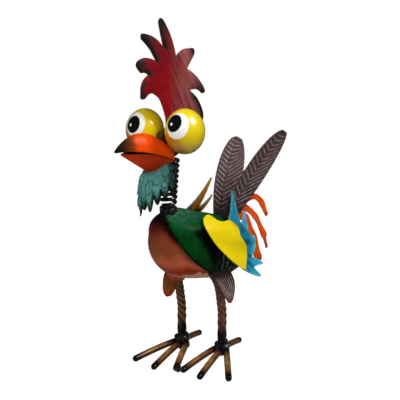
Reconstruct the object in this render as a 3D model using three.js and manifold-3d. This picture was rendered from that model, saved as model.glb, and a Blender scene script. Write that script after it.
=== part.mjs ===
// Garden rooster ornament, welded from painted sheet steel, ribbed bar and a coil spring.
// Millimetres, +Z up. The bird looks along -Y and its left side is +X. It stands on eight toes at z = 0.

import * as THREE from 'three';
import { mergeVertices } from 'three/addons/utils/BufferGeometryUtils.js';
import { ConvexGeometry } from 'three/addons/geometries/ConvexGeometry.js';
import { TessellateModifier } from 'three/addons/modifiers/TessellateModifier.js';
import Module from 'manifold-3d';

const wasm = await Module();
wasm.setup();

// Common sizes
const DEGREE = Math.PI / 180;
const SHEET = 1.5;
const COMB_LONGEST_EDGE = 40;
const WING_LONGEST_EDGE = 28;
const GAP = 0.3;
const FEATHER_SHEET = 1.2;

// Body: a tilted egg with a full breast and a raised shoulder, under a cape that leaves the breast open
const BODY_CENTRE = new THREE.Vector3(0, 8.2, 163.5);
const BODY_TILT = 17.7 * DEGREE;
const BODY_HALF_WIDTH = 43;
const BODY_FRONT = 81;
const BODY_REAR = 76;
const BODY_TOP = 28.4;
const BODY_BOTTOM = 54.7;
const SHOULDER_RISE = 10;
const SHOULDER_SPREAD = 13.7 * DEGREE;
const BREAST_RISE = 14;
const BREAST_SPREAD = 38 * DEGREE;
const BREAST_DROOP = 17 * DEGREE;
const CAPE_THICKNESS = 1.5;
const CAPE_EDGE_NORMAL = new THREE.Vector3(0.667, 0.497, 0.556).normalize();
const CAPE_EDGE_OFFSET = 83;

// Neck: socket on the shoulder, coil spring, head block
const NECK_FOOT = new THREE.Vector3(0, -55, 213);
const NECK_TOP = new THREE.Vector3(0, -49, 276);
const SOCKET_RADIUS = 10.8;
const SOCKET_HEIGHT = 12;
const SOCKET_FLARE = 1.6;
const SOCKET_ROUND = 1.5;
const SPRING_DIAMETER = 22;
const SPRING_WIRE = 4.5;
const SPRING_TURNS = 9;
const SPRING_STEPS = 8;
const HEAD_CENTRE = new THREE.Vector3(0, -54, 292);
const HEAD_HALF = new THREE.Vector3(21, 17, 18);
const HEAD_FRONT_Y = -60.5;

// Eyes: two large balls, taller than wide
const EYE_CENTRES = { left: new THREE.Vector3(38.5, -60, 310), right: new THREE.Vector3(-38, -60, 305) };
const EYE_HALF = new THREE.Vector3(24, 24, 27);

// Beak, in the plane of symmetry as [y, z]
const BEAK_RIDGE = [[-134, 289], [-100, 323], [-61, 291]];
const BEAK_UPPER_LIP = [[-134, 287], [-104, 292], [-61, 273.5]];
const BEAK_HALF_WIDTH = 20.5;
const BEAK_LOWER_TIP = new THREE.Vector3(0, -125.5, 285.2);
const BEAK_CORNER = new THREE.Vector3(20, -61, 271.6);
const BEAK_KEEL = new THREE.Vector3(0, -80, 257.5);
const MOUTH_GAP = 1.6;
const BEAK_TIP_SHARE = 0.03;
const BEAK_UPPER_TAPER = 0.75;
const BEAK_LOWER_TAPER = 0.9;
const BEAK_KEEL_ROUNDING = 0.85;

// Wattle: a fringed bib that hangs under the beak, round the front of the spring
const WATTLE_BACK_Y = -58;
const WATTLE_DEPTH = 32;
const WATTLE_HALF_WIDTH = 18.5;
const WATTLE_WRAP = 90 * DEGREE;
const WATTLE_TOP_Z = 254;
const WATTLE_TOP_RISE = 17;
const WATTLE_PEAK = { rise: 8.5, share: 0.27 };
const WATTLE_FRONT_Z = 204;
const WATTLE_SIDE_Z = 228;
const WATTLE_BELLY = 8;
const WATTLE_STRANDS = 9;
const WATTLE_NOTCH = 13;
const WATTLE_BELLY_SPAN = 0.75 * Math.PI;
const WATTLE_UNDER_BEAK = 2;

// Comb plate, in the plane of symmetry as [y, z]: each spike has a tip and the notch after it
const COMB_BROW = [[-57, 322], [-61, 334], [-67.3, 346.5], [-78, 353.5]];
const COMB_SPIKES = [
  { tip: [-93.8, 347], notch: [-83.3, 374.7], bow: [-0.23, 0.32], blunt: 4.7 },
  { tip: [-100.4, 387.8], notch: [-71.8, 390.9], bow: [-0.27, 0.13], blunt: 9 },
  { tip: [-92.3, 421.5], notch: [-59.5, 406.3], bow: [-0.12, 0.2], blunt: 4.4 },
  { tip: [-64, 440.3], notch: [-40.5, 395.3], bow: [0.03, 0.12], blunt: 4.1 },
  { tip: [-11, 404], notch: [-23, 380.5], bow: [0.27, -0.04], blunt: 6 },
  { tip: [6.5, 351], notch: [-18.2, 354], bow: [0.15, -0.33], blunt: 4 },
];
const COMB_REAR = [[-5.7, 343.2], [4, 325], [1, 312], [-14, 303], [-30, 301]];
const COMB_FOOT = [[-42, 300], [-56, 300]];
const COMB_DISH = 0.6;
const COMB_MIDDLE = new THREE.Vector2(-42, 365);
const COMB_REACH = 75;

// Wing plate, in its own plane: u runs back along the top edge, v runs down and out
const WING_FRONT = new THREE.Vector3(25, -15, 199);
const WING_TOP = new THREE.Vector3(21.5, 29, 185);
const WING_TIP = new THREE.Vector3(56, 28, 125);
const WING_POINT = [54.4, 69.5];
const WING_LOWER_EDGE = [[28, 59], [6, 42.8], [-10.4, 25.3], [-12.2, 11.8], [-2.8, 1.8], [5, 1.5]];
const WING_REAR_EDGE = [
  [11.4, 9.1], [22.4, 9.2], [35.3, 5.6], [43.4, 12.6], [44.5, 26.8], [62.7, 39.7], [60.1, 55.8],
];
const WING_DOME = 6;
const WING_DOME_MIDDLE = new THREE.Vector2(36, 28);
const WING_DOME_REACH = 50;
const WING_CLEARANCE = 4.4;
const WING_LAP = 1.2;

// Fringe plate behind the wing, in the wing's plane, with its upper spikes bent outwards
const FRINGE_START = [36, 4];
const FRINGE_END = [56, 66];
const FRINGE_INNER = [36, 36];
const FRINGE_LIFT = 21;
const FRINGE_LIFT_SPAN = 38;
const LEFT_FRINGE_SPIKES = [
  { tip: [46.2, -35], notch: [74.6, 0.3], bow: [0.7, -0.18], blunt: 1.4 },
  { tip: [83.7, -17.5], notch: [77.4, 28.8], bow: [0.27, -0.26], blunt: 2.4 },
  { tip: [98.6, 15], notch: [82, 46.7], bow: [-0.15, -0.18], blunt: 2.5 },
  { tip: [104, 52.8], notch: [81.5, 61.5], bow: [-0.06, 0.07], blunt: 2 },
  { tip: [93.3, 71.8], notch: FRINGE_END, bow: [0.02, -0.08], blunt: 2 },
];
const RIGHT_FRINGE_START = [3, 8];
const RIGHT_FRINGE_SPIKES = [
  { tip: [39.2, -43.2], notch: [25.6, -9.4], bow: [-0.11, 0.09], blunt: 1 },
  { tip: [42.9, -27.5], notch: [31, 1.5], bow: [0.04, 0.04], blunt: 1 },
  { tip: [88, 12], notch: [82, 45], bow: [0.02, -0.1], blunt: 2.5 },
  { tip: [104, 52], notch: [81.5, 61.5], bow: [-0.06, 0.07], blunt: 2 },
  { tip: [93.3, 71.8], notch: FRINGE_END, bow: [0.02, -0.08], blunt: 2 },
];

// Tail: two ribbed feathers and a plume of three fingers, each finger as [y, z, width] along its middle
const TAIL_ROOT = new THREE.Vector3(5, 42.5, 178);
const TAIL_TIPS = { left: new THREE.Vector3(43, 112.7, 296.5), right: new THREE.Vector3(-43, 112.5, 280.4) };
const TAIL_HALF_WIDTH = 22.9;
const TAIL_FOLD = 0.2;
const TAIL_BARBS = 10;
const TAIL_BARB_RELIEF = 0.5;
const TAIL_BARB_RAKE = 0.6;
const LEAF_ROOT_SHARE = 0.08;
const LEAF_FULLNESS = 0.4;
const LEAF_SWELL = 1.2;
const LEAF_TIP_SHARE = 0.995;
const PLUME_FINGERS = [
  [
    [42, 182, 8], [68, 197, 8], [95, 204, 8], [107, 198.7, 8],
    [114, 191, 9.4], [119.7, 180, 6.3], [124, 173, 5.5],
  ],
  [
    [42, 180, 10], [62, 189, 10.5], [78, 191, 10.8], [91, 184.6, 8], [102.3, 174, 8.9],
    [108, 165.6, 7], [113.4, 156, 8.3], [120, 145, 10.5], [122, 138, 5.2], [126.5, 125, 4.5],
  ],
  [
    [44, 172, 13], [66, 179, 12], [82.5, 176.5, 11.4], [92, 158, 12], [99.6, 144, 14],
    [103, 133, 14], [107, 121, 13.3], [110.5, 112, 15], [114, 107, 9],
  ],
];

// Legs and feet, in a frame that is turned to the bird's left: a is sideways, b is backwards
const STANCE_TURN = 22 * DEGREE;
const LEG_SPREAD = 30;
const LEG_BACK = 2.3;
const LEG_TUCK = { from: 100, over: 30, inwards: 9 };
const LEG_BEND = [[10, 0], [45, 0], [64, 0], [80, 2.2], [93, 4.3], [105, 7.5], [117, 12], [130, 17]];
const BAR_RADIUS = 5.6;
const BAR_RIB = 0.7;
const BAR_RIB_PITCH = 19;
const ANKLE_Z = 14;
const ANKLE_HALF = new THREE.Vector3(10.5, 9.5, 11);
const TOE_RADIUS = 4.2;
const TOE_REST_Z = 3.2;
const TOES = {
  inner: { from: -8, tip: [4.5, -65] },
  middle: { from: 0, tip: [33, -73.5] },
  outer: { from: 6.5, tip: [68.5, -62] },
  back: { from: 0, tip: [31, 60.5] },
};
const TOE_START = 3;
const TOE_TOP_DROP = 2;
const TOE_KNUCKLE = { share: 0.4, drop: 3 };
const HIP_COLLAR = {
  radius: 9.5, neck: 7, shoulder: 6, height: 22, tilt: 22 * DEGREE, atShare: 0.86, clearance: 4, margin: 0.03,
};

// Thigh feathers, each a leaf that comes out from under the body and hangs beside a leg, as [y, z]
const THIGHS = {
  left: { x: 34.2, line: [[-4, 134], [18, 108], [21, 75.5]], halfWidth: 20, fullness: 1 },
  right: { x: -35.9, line: [[-14, 136], [-21, 108], [-26, 77.5]], halfWidth: 13, fullness: 4 },
};
const THIGH_POINT = 0.58;
const THIGH_TIP_SHARE = 0.985;
const THIGH_TUCK = { share: 0.55, inwards: 12 };

// Paints and finishes
function finish(color, roughness, metalness) {
  return new THREE.MeshStandardMaterial({ color, roughness, metalness });
}

const paint = {
  breast: finish(0x8a3b26, 0.3, 0.2),
  cape: finish(0x0c3d24, 0.22, 0.2),
  black: finish(0x0b0c0b, 0.35, 0.3),
  comb: finish(0x7c1019, 0.4, 0.2),
  eye: finish(0xd9b400, 0.15, 0),
  beak: finish(0xd8420a, 0.25, 0.1),
  beakLower: finish(0x8f1c06, 0.3, 0.1),
  teal: finish(0x3f8078, 0.45, 0.2),
  yellow: finish(0xdcc413, 0.28, 0),
  turquoise: finish(0x1f93ab, 0.35, 0.1),
  feather: finish(0x5a474a, 0.4, 0.5),
  orange: finish(0xdb4a06, 0.35, 0.1),
  thigh: finish(0x4a3436, 0.4, 0.5),
  bar: finish(0x6b4420, 0.35, 0.6),
};

const rooster = new THREE.Group();
const stance = new THREE.Group();
stance.rotation.z = STANCE_TURN;
rooster.add(stance);

function piece(name, geometry, material, parent = rooster) {
  geometry.computeVertexNormals();
  const mesh = new THREE.Mesh(geometry, material);
  mesh.name = name;
  parent.add(mesh);
}

// Vertices of a three.js geometry, merged, each moved to where place(x, y, z) says
function shaped(geometry, place) {
  geometry.deleteAttribute('normal');
  geometry.deleteAttribute('uv');
  const merged = mergeVertices(geometry, 1e-4);
  const position = merged.attributes.position;
  for (let i = 0; i < position.count; i++) {
    const moved = place(position.getX(i), position.getY(i), position.getZ(i));
    position.setXYZ(i, moved.x, moved.y, moved.z);
  }
  return merged;
}

const unmoved = (x, y, z) => new THREE.Vector3(x, y, z);

function solidOf(geometry) {
  const merged = shaped(geometry.clone(), unmoved);
  return new wasm.Manifold(new wasm.Mesh({
    numProp: 3,
    vertProperties: new Float32Array(merged.attributes.position.array),
    triVerts: new Uint32Array(merged.index.array),
  }));
}

function geometryOf(solid) {
  const mesh = solid.getMesh();
  const geometry = new THREE.BufferGeometry();
  geometry.setAttribute('position', new THREE.BufferAttribute(new Float32Array(mesh.vertProperties), 3));
  geometry.setIndex(new THREE.BufferAttribute(new Uint32Array(mesh.triVerts), 1));
  return geometry;
}

// The largest body that a cut leaves, so that no loose sliver stays
function largest(solid) {
  return solid.decompose().sort((a, b) => b.volume() - a.volume())[0];
}

function cutBy(geometry, ...tools) {
  let solid = solidOf(geometry);
  for (const tool of tools) {
    solid = solid.subtract(tool);
  }
  return geometryOf(largest(solid));
}

// The same shape on the other side of the bird
function mirrored(geometry) {
  const other = shaped(geometry.clone(), (x, y, z) => new THREE.Vector3(-x, y, z));
  const index = other.index;
  for (let i = 0; i < index.count; i += 3) {
    const second = index.getX(i + 1);
    index.setX(i + 1, index.getX(i + 2));
    index.setX(i + 2, second);
  }
  return other;
}

function halfSpaceBelow(normal, offset) {
  const size = 600;
  const box = new THREE.BoxGeometry(size, size, size);
  box.translate(0, 0, -size / 2);
  box.applyQuaternion(new THREE.Quaternion().setFromUnitVectors(new THREE.Vector3(0, 0, 1), normal));
  box.translate(normal.x * offset, normal.y * offset, normal.z * offset);
  return solidOf(box);
}

// A sheet of metal whose middle surface is surface(u, v), with u and v from 0 to 1
function sheet(surface, columns, rows, thickness = SHEET) {
  const normalAt = (u, v) => {
    const du = 1 / columns;
    const dv = 1 / rows;
    const across = surface(Math.min(u + du, 1), v).sub(surface(Math.max(u - du, 0), v));
    const along = surface(u, Math.min(v + dv, 1)).sub(surface(u, Math.max(v - dv, 0)));
    return across.cross(along).normalize();
  };
  return shaped(new THREE.BoxGeometry(1, 1, 1, columns, rows, 1), (x, y, z) => {
    const u = x + 0.5;
    const v = y + 0.5;
    return surface(u, v).addScaledVector(normalAt(u, v), z * thickness);
  });
}

// A bar along a curve, with radiusAt(t, angle) giving its section
function bar(curve, sides, steps, radiusAt) {
  const frames = curve.computeFrenetFrames(steps, false);
  return shaped(new THREE.CylinderGeometry(1, 1, 1, sides, steps), (x, y, z) => {
    const step = Math.round((y + 0.5) * steps);
    const reach = Math.hypot(x, z) * radiusAt(step / steps, Math.atan2(x, z));
    const angle = Math.atan2(x, z);
    return curve.getPointAt(step / steps)
      .addScaledVector(frames.normals[step], reach * Math.sin(angle))
      .addScaledVector(frames.binormals[step], -reach * Math.cos(angle));
  });
}

// Adds pointed spikes to an outline, each with bowed edges and a blunt tip
function addSpikes(shape, start, spikes) {
  let from = new THREE.Vector2(...start);
  const bowed = (to, bow) => {
    const chord = to.clone().sub(from);
    const middle = from.clone().addScaledVector(chord, 0.5);
    return middle.add(new THREE.Vector2(-chord.y, chord.x).multiplyScalar(bow));
  };
  for (const { tip, notch, bow, blunt } of spikes) {
    const point = new THREE.Vector2(...tip);
    const after = new THREE.Vector2(...notch);
    const axis = point.clone().sub(from.clone().add(after).multiplyScalar(0.5)).normalize();
    const side = new THREE.Vector2(-axis.y, axis.x).multiplyScalar(blunt);
    const turn = Math.sign(side.dot(from.clone().sub(after))) || 1;
    const near = point.clone().addScaledVector(axis, -blunt).addScaledVector(side, turn);
    const far = point.clone().addScaledVector(axis, -blunt).addScaledVector(side, -turn);
    const rise = bowed(near, bow[0]);
    shape.quadraticCurveTo(rise.x, rise.y, near.x, near.y);
    const crown = point.clone().addScaledVector(axis, blunt);
    shape.quadraticCurveTo(crown.x, crown.y, far.x, far.y);
    from = far;
    const fall = bowed(after, bow[1]);
    shape.quadraticCurveTo(fall.x, fall.y, after.x, after.y);
    from = after;
  }
}

// A flat plate cut to an outline, with place(u, v, w) bending it; w is the height above its middle
function plate(shape, place, longestEdge, thickness = SHEET) {
  const flat = new THREE.ExtrudeGeometry(shape, { depth: thickness, bevelEnabled: false, curveSegments: 3 });
  flat.translate(0, 0, -thickness / 2);
  const fine = longestEdge ? new TessellateModifier(longestEdge, 14).modify(flat) : flat;
  return shaped(fine, place);
}

const vectors2 = (points) => points.map(([x, y]) => new THREE.Vector2(x, y));

// Body
const towardsNeck = NECK_FOOT.clone().sub(BODY_CENTRE).normalize();
const towardsBreast = new THREE.Vector3(0, -Math.cos(BREAST_DROOP), -Math.sin(BREAST_DROOP));
const bump = (angle, spread) => Math.exp(-Math.pow(angle / spread, 2));

function bodyReach(direction) {
  const along = direction.z * Math.sin(BODY_TILT) - direction.y * Math.cos(BODY_TILT);
  const up = direction.z * Math.cos(BODY_TILT) + direction.y * Math.sin(BODY_TILT);
  const egg = 1 / Math.hypot(
    direction.x / BODY_HALF_WIDTH,
    along / (along > 0 ? BODY_FRONT : BODY_REAR),
    up / (up > 0 ? BODY_TOP : BODY_BOTTOM),
  );
  return egg
    + SHOULDER_RISE * bump(direction.angleTo(towardsNeck), SHOULDER_SPREAD)
    + BREAST_RISE * bump(direction.angleTo(towardsBreast), BREAST_SPREAD);
}

function heightOverBody(point) {
  const out = point.clone().sub(BODY_CENTRE);
  return out.length() - bodyReach(out.normalize());
}

function bodySolid(grow) {
  const ball = new THREE.SphereGeometry(1, 20, 12);
  return solidOf(shaped(ball, (x, y, z) => {
    const direction = new THREE.Vector3(x, y, z).normalize();
    return BODY_CENTRE.clone().addScaledVector(direction, bodyReach(direction) + grow);
  }));
}

const CAPE_OTHER_NORMAL = CAPE_EDGE_NORMAL.clone().multiply(new THREE.Vector3(-1, 1, 1));
const breastOpening = halfSpaceBelow(CAPE_EDGE_NORMAL, CAPE_EDGE_OFFSET)
  .intersect(halfSpaceBelow(CAPE_OTHER_NORMAL, CAPE_EDGE_OFFSET));
const breast = bodySolid(0);
const cape = bodySolid(GAP + CAPE_THICKNESS).subtract(bodySolid(GAP)).subtract(breastOpening);
// What stands on the body is cut to this seat, which clears breast and cape
const seat = bodySolid(GAP).add(bodySolid(2 * GAP + CAPE_THICKNESS).subtract(breastOpening));

piece('breast_shell', geometryOf(breast), paint.breast);
piece('back_cape', geometryOf(cape), paint.cape);

// Neck and head block
class CoilSpring extends THREE.Curve {
  getPoint(t) {
    const turn = t * SPRING_TURNS * 2 * Math.PI;
    const radius = (SPRING_DIAMETER - SPRING_WIRE) / 2;
    const rise = new THREE.Vector3().lerpVectors(NECK_FOOT, NECK_TOP, t);
    const inset = SPRING_WIRE / 2 + GAP;
    rise.z += inset * (1 - 2 * t);
    return rise.add(new THREE.Vector3(radius * Math.sin(turn), -radius * Math.cos(turn), 0));
  }
}

function neckSocket() {
  const profile = vectors2([
    [0, -SOCKET_HEIGHT],
    [SOCKET_RADIUS + SOCKET_FLARE, -SOCKET_HEIGHT],
    [SOCKET_RADIUS + SOCKET_FLARE / 4, -SOCKET_HEIGHT / 2],
    [SOCKET_RADIUS, -SOCKET_ROUND],
    [SOCKET_RADIUS - SOCKET_ROUND, 0],
    [0, 0],
  ]);
  const cup = new THREE.LatheGeometry(profile, 16);
  cup.rotateX(90 * DEGREE);
  cup.translate(NECK_FOOT.x, NECK_FOOT.y, NECK_FOOT.z);
  return cutBy(cup, seat);
}

function ellipsoid(centre, half, columns, rows) {
  return shaped(new THREE.SphereGeometry(1, columns, rows), (x, y, z) => (
    new THREE.Vector3(x, -z, y).multiply(half).add(centre)));
}

const grown = (half, by) => half.clone().addScalar(by);
const headBlock = solidOf(ellipsoid(HEAD_CENTRE, HEAD_HALF, 12, 8))
  .subtract(halfSpaceBelow(new THREE.Vector3(0, 1, 0), HEAD_FRONT_Y))
  .subtract(halfSpaceBelow(new THREE.Vector3(0, 0, 1), NECK_TOP.z))
  .subtract(solidOf(ellipsoid(EYE_CENTRES.left, grown(EYE_HALF, GAP), 16, 12)))
  .subtract(solidOf(ellipsoid(EYE_CENTRES.right, grown(EYE_HALF, GAP), 16, 12)));

const coil = new CoilSpring();
coil.arcLengthDivisions = 800;
piece('neck_socket', neckSocket(), paint.black);
piece('neck_spring', bar(coil, 5, SPRING_TURNS * SPRING_STEPS, () => SPRING_WIRE / 2), paint.black);
piece('head_block', geometryOf(headBlock), paint.black);
for (const [name, centre] of Object.entries(EYE_CENTRES)) {
  piece(`eye_${name}`, ellipsoid(centre, EYE_HALF, 16, 11), paint.eye);
}

// Comb
function combOutline() {
  const shape = new THREE.Shape();
  shape.moveTo(...COMB_FOOT[1]);
  shape.lineTo(...COMB_BROW[0]);
  shape.splineThru(vectors2(COMB_BROW.slice(1)));
  addSpikes(shape, COMB_BROW[3], COMB_SPIKES);
  shape.splineThru(vectors2([...COMB_REAR, COMB_FOOT[0]]));
  shape.lineTo(...COMB_FOOT[1]);
  return shape;
}

function comb() {
  const dished = plate(combOutline(), (y, z, w) => {
    const away = COMB_MIDDLE.distanceTo(new THREE.Vector2(y, z)) / COMB_REACH;
    return new THREE.Vector3(w + COMB_DISH * (1 - away * away), y, z);
  }, COMB_LONGEST_EDGE);
  const slot = solidOf(ellipsoid(HEAD_CENTRE, grown(HEAD_HALF, GAP), 16, 10));
  return cutBy(dished, slot);
}

piece('comb', comb(), paint.comb);

// Beak
const arc = (points) => new THREE.QuadraticBezierCurve(...vectors2(points));

function beakUpper() {
  const ridge = arc(BEAK_RIDGE);
  const lip = arc(BEAK_UPPER_LIP);
  return sheet((u, v) => {
    const s = BEAK_TIP_SHARE + (1 - BEAK_TIP_SHARE) * v;
    const angle = (u - 0.5) * Math.PI;
    const top = ridge.getPoint(s);
    const edge = lip.getPoint(s);
    const width = BEAK_HALF_WIDTH * Math.pow(s, BEAK_UPPER_TAPER);
    const arch = Math.cos(angle);
    return new THREE.Vector3(
      -width * Math.sin(angle),
      edge.x + (top.x - edge.x) * arch,
      edge.y + (top.y - edge.y) * arch,
    );
  }, 8, 9);
}

function beakLower() {
  const lip = arc([
    [BEAK_LOWER_TIP.y, BEAK_LOWER_TIP.z],
    [BEAK_UPPER_LIP[1][0], BEAK_UPPER_LIP[1][1] - MOUTH_GAP],
    [BEAK_CORNER.y, BEAK_CORNER.z],
  ]);
  const keel = new THREE.LineCurve3(BEAK_LOWER_TIP, BEAK_KEEL);
  return sheet((u, v) => {
    const s = BEAK_TIP_SHARE + (1 - BEAK_TIP_SHARE) * v;
    const edge = lip.getPoint(s);
    const side = 1 - 2 * u;
    const bottom = keel.getPoint(s);
    const open = Math.pow(Math.abs(side), BEAK_KEEL_ROUNDING);
    return new THREE.Vector3(
      -BEAK_CORNER.x * Math.pow(s, BEAK_LOWER_TAPER) * side,
      bottom.y + (edge.x - bottom.y) * open,
      bottom.z + (edge.y - bottom.z) * open,
    );
  }, 4, 8);
}

piece('beak_upper', beakUpper(), paint.beak);
piece('beak_lower', beakLower(), paint.beakLower);

// Wattle
function wattle() {
  const columns = WATTLE_STRANDS * 2;
  const bib = sheet((u, v) => {
    const angle = (2 * u - 1) * WATTLE_WRAP;
    const front = Math.max(0, Math.cos(angle));
    const turn = Math.abs(2 * u - 1);
    const strand = Math.abs(((u * WATTLE_STRANDS) % 1) * 2 - 1);
    const bottom = WATTLE_SIDE_Z + (WATTLE_FRONT_Z - WATTLE_SIDE_Z) * front + WATTLE_NOTCH * strand;
    const peak = WATTLE_PEAK.rise * Math.max(0, 1 - turn / WATTLE_PEAK.share);
    const top = WATTLE_TOP_Z + WATTLE_TOP_RISE * turn + peak;
    const belly = 1 + (WATTLE_BELLY / WATTLE_DEPTH) * Math.sin(v * WATTLE_BELLY_SPAN);
    return new THREE.Vector3(
      WATTLE_HALF_WIDTH * Math.sin(angle),
      WATTLE_BACK_Y - WATTLE_DEPTH * front * belly,
      top + (bottom - top) * v,
    );
  }, columns, 4, FEATHER_SHEET);
  const other = BEAK_CORNER.clone().multiply(new THREE.Vector3(-1, 1, 1));
  const corners = [BEAK_LOWER_TIP, BEAK_CORNER, other, BEAK_KEEL];
  const under = corners.map((corner) => corner.clone().setZ(corner.z - WATTLE_UNDER_BEAK));
  const above = corners.map((corner) => corner.clone().setZ(BEAK_LOWER_TIP.z));
  return cutBy(bib, solidOf(new ConvexGeometry([...under, ...above])), headBlock);
}

piece('wattle', wattle(), paint.teal);

// Wings
const wingBack = WING_TOP.clone().sub(WING_FRONT).normalize();
const wingOut = wingBack.clone().cross(WING_TIP.clone().sub(WING_FRONT)).normalize().negate();
const wingDown = wingBack.clone().cross(wingOut).normalize();

function onWing(u, v, lift) {
  return WING_FRONT.clone()
    .addScaledVector(wingBack, u)
    .addScaledVector(wingDown, v)
    .addScaledVector(wingOut, lift);
}

// How far out a plate must bend at a point of the wing's plane to lie over the cape
function drape(u, v) {
  let lift = -SHEET - GAP;
  for (let pass = 0; pass < 8; pass++) {
    lift += Math.max(0, WING_CLEARANCE - heightOverBody(onWing(u, v, lift)));
  }
  return lift;
}

function wing(thickness) {
  const shape = new THREE.Shape();
  shape.moveTo(...WING_POINT);
  shape.splineThru(vectors2([...WING_LOWER_EDGE, ...WING_REAR_EDGE]));
  shape.lineTo(...WING_POINT);
  return plate(shape, (u, v, w) => {
    const away = WING_DOME_MIDDLE.distanceTo(new THREE.Vector2(u, v)) / WING_DOME_REACH;
    const dome = WING_DOME * Math.max(0, 1 - away * away);
    return onWing(u, v, Math.max(dome, drape(u, v) + SHEET + WING_LAP) - w);
  }, WING_LONGEST_EDGE, thickness);
}

function fringe(start, spikes) {
  const shape = new THREE.Shape();
  shape.moveTo(...start);
  addSpikes(shape, start, spikes);
  shape.lineTo(...FRINGE_INNER);
  shape.lineTo(...start);
  const bent = plate(shape, (u, v, w) => {
    const up = Math.max(0, -v) / FRINGE_LIFT_SPAN;
    return onWing(u, v, Math.max(FRINGE_LIFT * up * up - SHEET - GAP, drape(u, v)) - w);
  }, WING_LONGEST_EDGE);
  return cutBy(bent, seat, solidOf(wing(SHEET + 2 * GAP)));
}

const wingLeft = cutBy(wing(SHEET), seat);
piece('wing_left', wingLeft, paint.yellow);
piece('wing_right', mirrored(wingLeft), paint.yellow);
piece('wing_fringe_left', fringe(FRINGE_START, LEFT_FRINGE_SPIKES), paint.turquoise);
piece('wing_fringe_right', mirrored(fringe(RIGHT_FRINGE_START, RIGHT_FRINGE_SPIKES)), paint.turquoise);

// Feathers: a leaf with a folded middle rib and raised barbs that slant up and out
function leafWidth(s) {
  const share = LEAF_ROOT_SHARE + (1 - LEAF_ROOT_SHARE) * Math.pow(s, LEAF_SWELL);
  return Math.pow(Math.sin(Math.PI * share), LEAF_FULLNESS);
}

function feather({ root, tip, across, halfWidth, fold, barbs, relief }) {
  const axis = tip.clone().sub(root);
  const length = axis.length();
  axis.normalize();
  const side = across.clone().addScaledVector(axis, -across.dot(axis)).normalize();
  const face = axis.clone().cross(side);
  const rows = barbs * 2;
  return sheet((u, v) => {
    const onRib = LEAF_TIP_SHARE * v;
    const edge = 2 * u - 1;
    const rake = (halfWidth / length) * TAIL_BARB_RAKE * (1 - Math.pow(onRib, 4));
    const s = onRib + Math.abs(edge) * rake * leafWidth(onRib);
    const width = edge * halfWidth * leafWidth(Math.min(s, LEAF_TIP_SHARE));
    const raised = Math.round(v * rows) % 2 ? relief : 0;
    return root.clone()
      .addScaledVector(axis, s * length)
      .addScaledVector(side, width)
      .addScaledVector(face, Math.abs(width) * fold + raised * Math.abs(edge));
  }, 4, rows, FEATHER_SHEET);
}

for (const [name, tip] of Object.entries(TAIL_TIPS)) {
  const root = TAIL_ROOT.clone().multiply(new THREE.Vector3(Math.sign(tip.x), 1, 1));
  const leaf = feather({
    root,
    tip,
    across: new THREE.Vector3(0, 1, 0),
    halfWidth: TAIL_HALF_WIDTH,
    fold: TAIL_FOLD,
    barbs: TAIL_BARBS,
    relief: TAIL_BARB_RELIEF,
  });
  piece(`tail_feather_${name}`, cutBy(leaf, seat), paint.feather);
}

// Plume: three curved fingers joined at the root
function plumeFinger(points) {
  const stations = points.map((point) => new THREE.Vector3(...point));
  const middle = new THREE.CatmullRomCurve3(stations, false, 'catmullrom');
  return solidOf(sheet((u, v) => {
    const at = middle.getPoint(v);
    const along = middle.getTangent(v).setZ(0).normalize();
    const off = (u - 0.5) * at.z;
    return new THREE.Vector3(0, at.x - along.y * off, at.y + along.x * off);
  }, 1, 2 * points.length));
}

const [fingerOne, fingerTwo, fingerThree] = PLUME_FINGERS.map(plumeFinger);
const plume = fingerOne.add(fingerTwo).add(fingerThree).subtract(seat);
piece('tail_plume', geometryOf(largest(plume)), paint.orange);

// Legs and feet
const seatInStance = seat.rotate([0, 0, -STANCE_TURN / DEGREE]);
const floor = halfSpaceBelow(new THREE.Vector3(0, 0, 1), 0);

const forwardInStance = new THREE.Vector3(-Math.sin(STANCE_TURN), -Math.cos(STANCE_TURN), 0);

function legCurve(side) {
  return new THREE.CatmullRomCurve3(LEG_BEND.map(([z, lean]) => {
    const rise = Math.max(0, z - LEG_TUCK.from) / LEG_TUCK.over;
    const out = LEG_SPREAD - LEG_TUCK.inwards * rise * rise;
    return new THREE.Vector3(side * out, LEG_BACK, z).addScaledVector(forwardInStance, lean);
  }));
}

// Hot-rolled bar with two ribs that wind round it
function legBar(side) {
  const curve = legCurve(side);
  const length = curve.getLength();
  return bar(curve, 8, 22, (t, angle) => {
    const wind = angle + (t * length / BAR_RIB_PITCH) * Math.PI;
    return BAR_RADIUS + BAR_RIB * Math.pow(Math.cos(wind), 4);
  });
}

const ankleCentre = (side) => new THREE.Vector3(side * LEG_SPREAD, LEG_BACK, ANKLE_Z);
const ankle = (side, by) => solidOf(ellipsoid(ankleCentre(side), grown(ANKLE_HALF, by), 10, 7));

function leg(side) {
  const joined = solidOf(legBar(side)).add(ankle(side, 0));
  return geometryOf(largest(joined.subtract(seatInStance)));
}

function toeSolid(side, { from, tip: [a, b] }, by) {
  const hub = ankleCentre(side).add(new THREE.Vector3(side * from, 0, 0));
  const tip = new THREE.Vector3(side * a, b, TOE_REST_Z);
  const way = tip.clone().sub(hub).setZ(0).normalize();
  const start = hub.clone().addScaledVector(way, TOE_START - by).setZ(ANKLE_Z - TOE_TOP_DROP);
  const knuckle = start.clone().lerp(tip, TOE_KNUCKLE.share).setZ(ANKLE_Z - TOE_KNUCKLE.drop);
  const line = new THREE.QuadraticBezierCurve3(start, knuckle, tip);
  return solidOf(bar(line, 8, 4, () => TOE_RADIUS + by)).subtract(floor);
}

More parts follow.
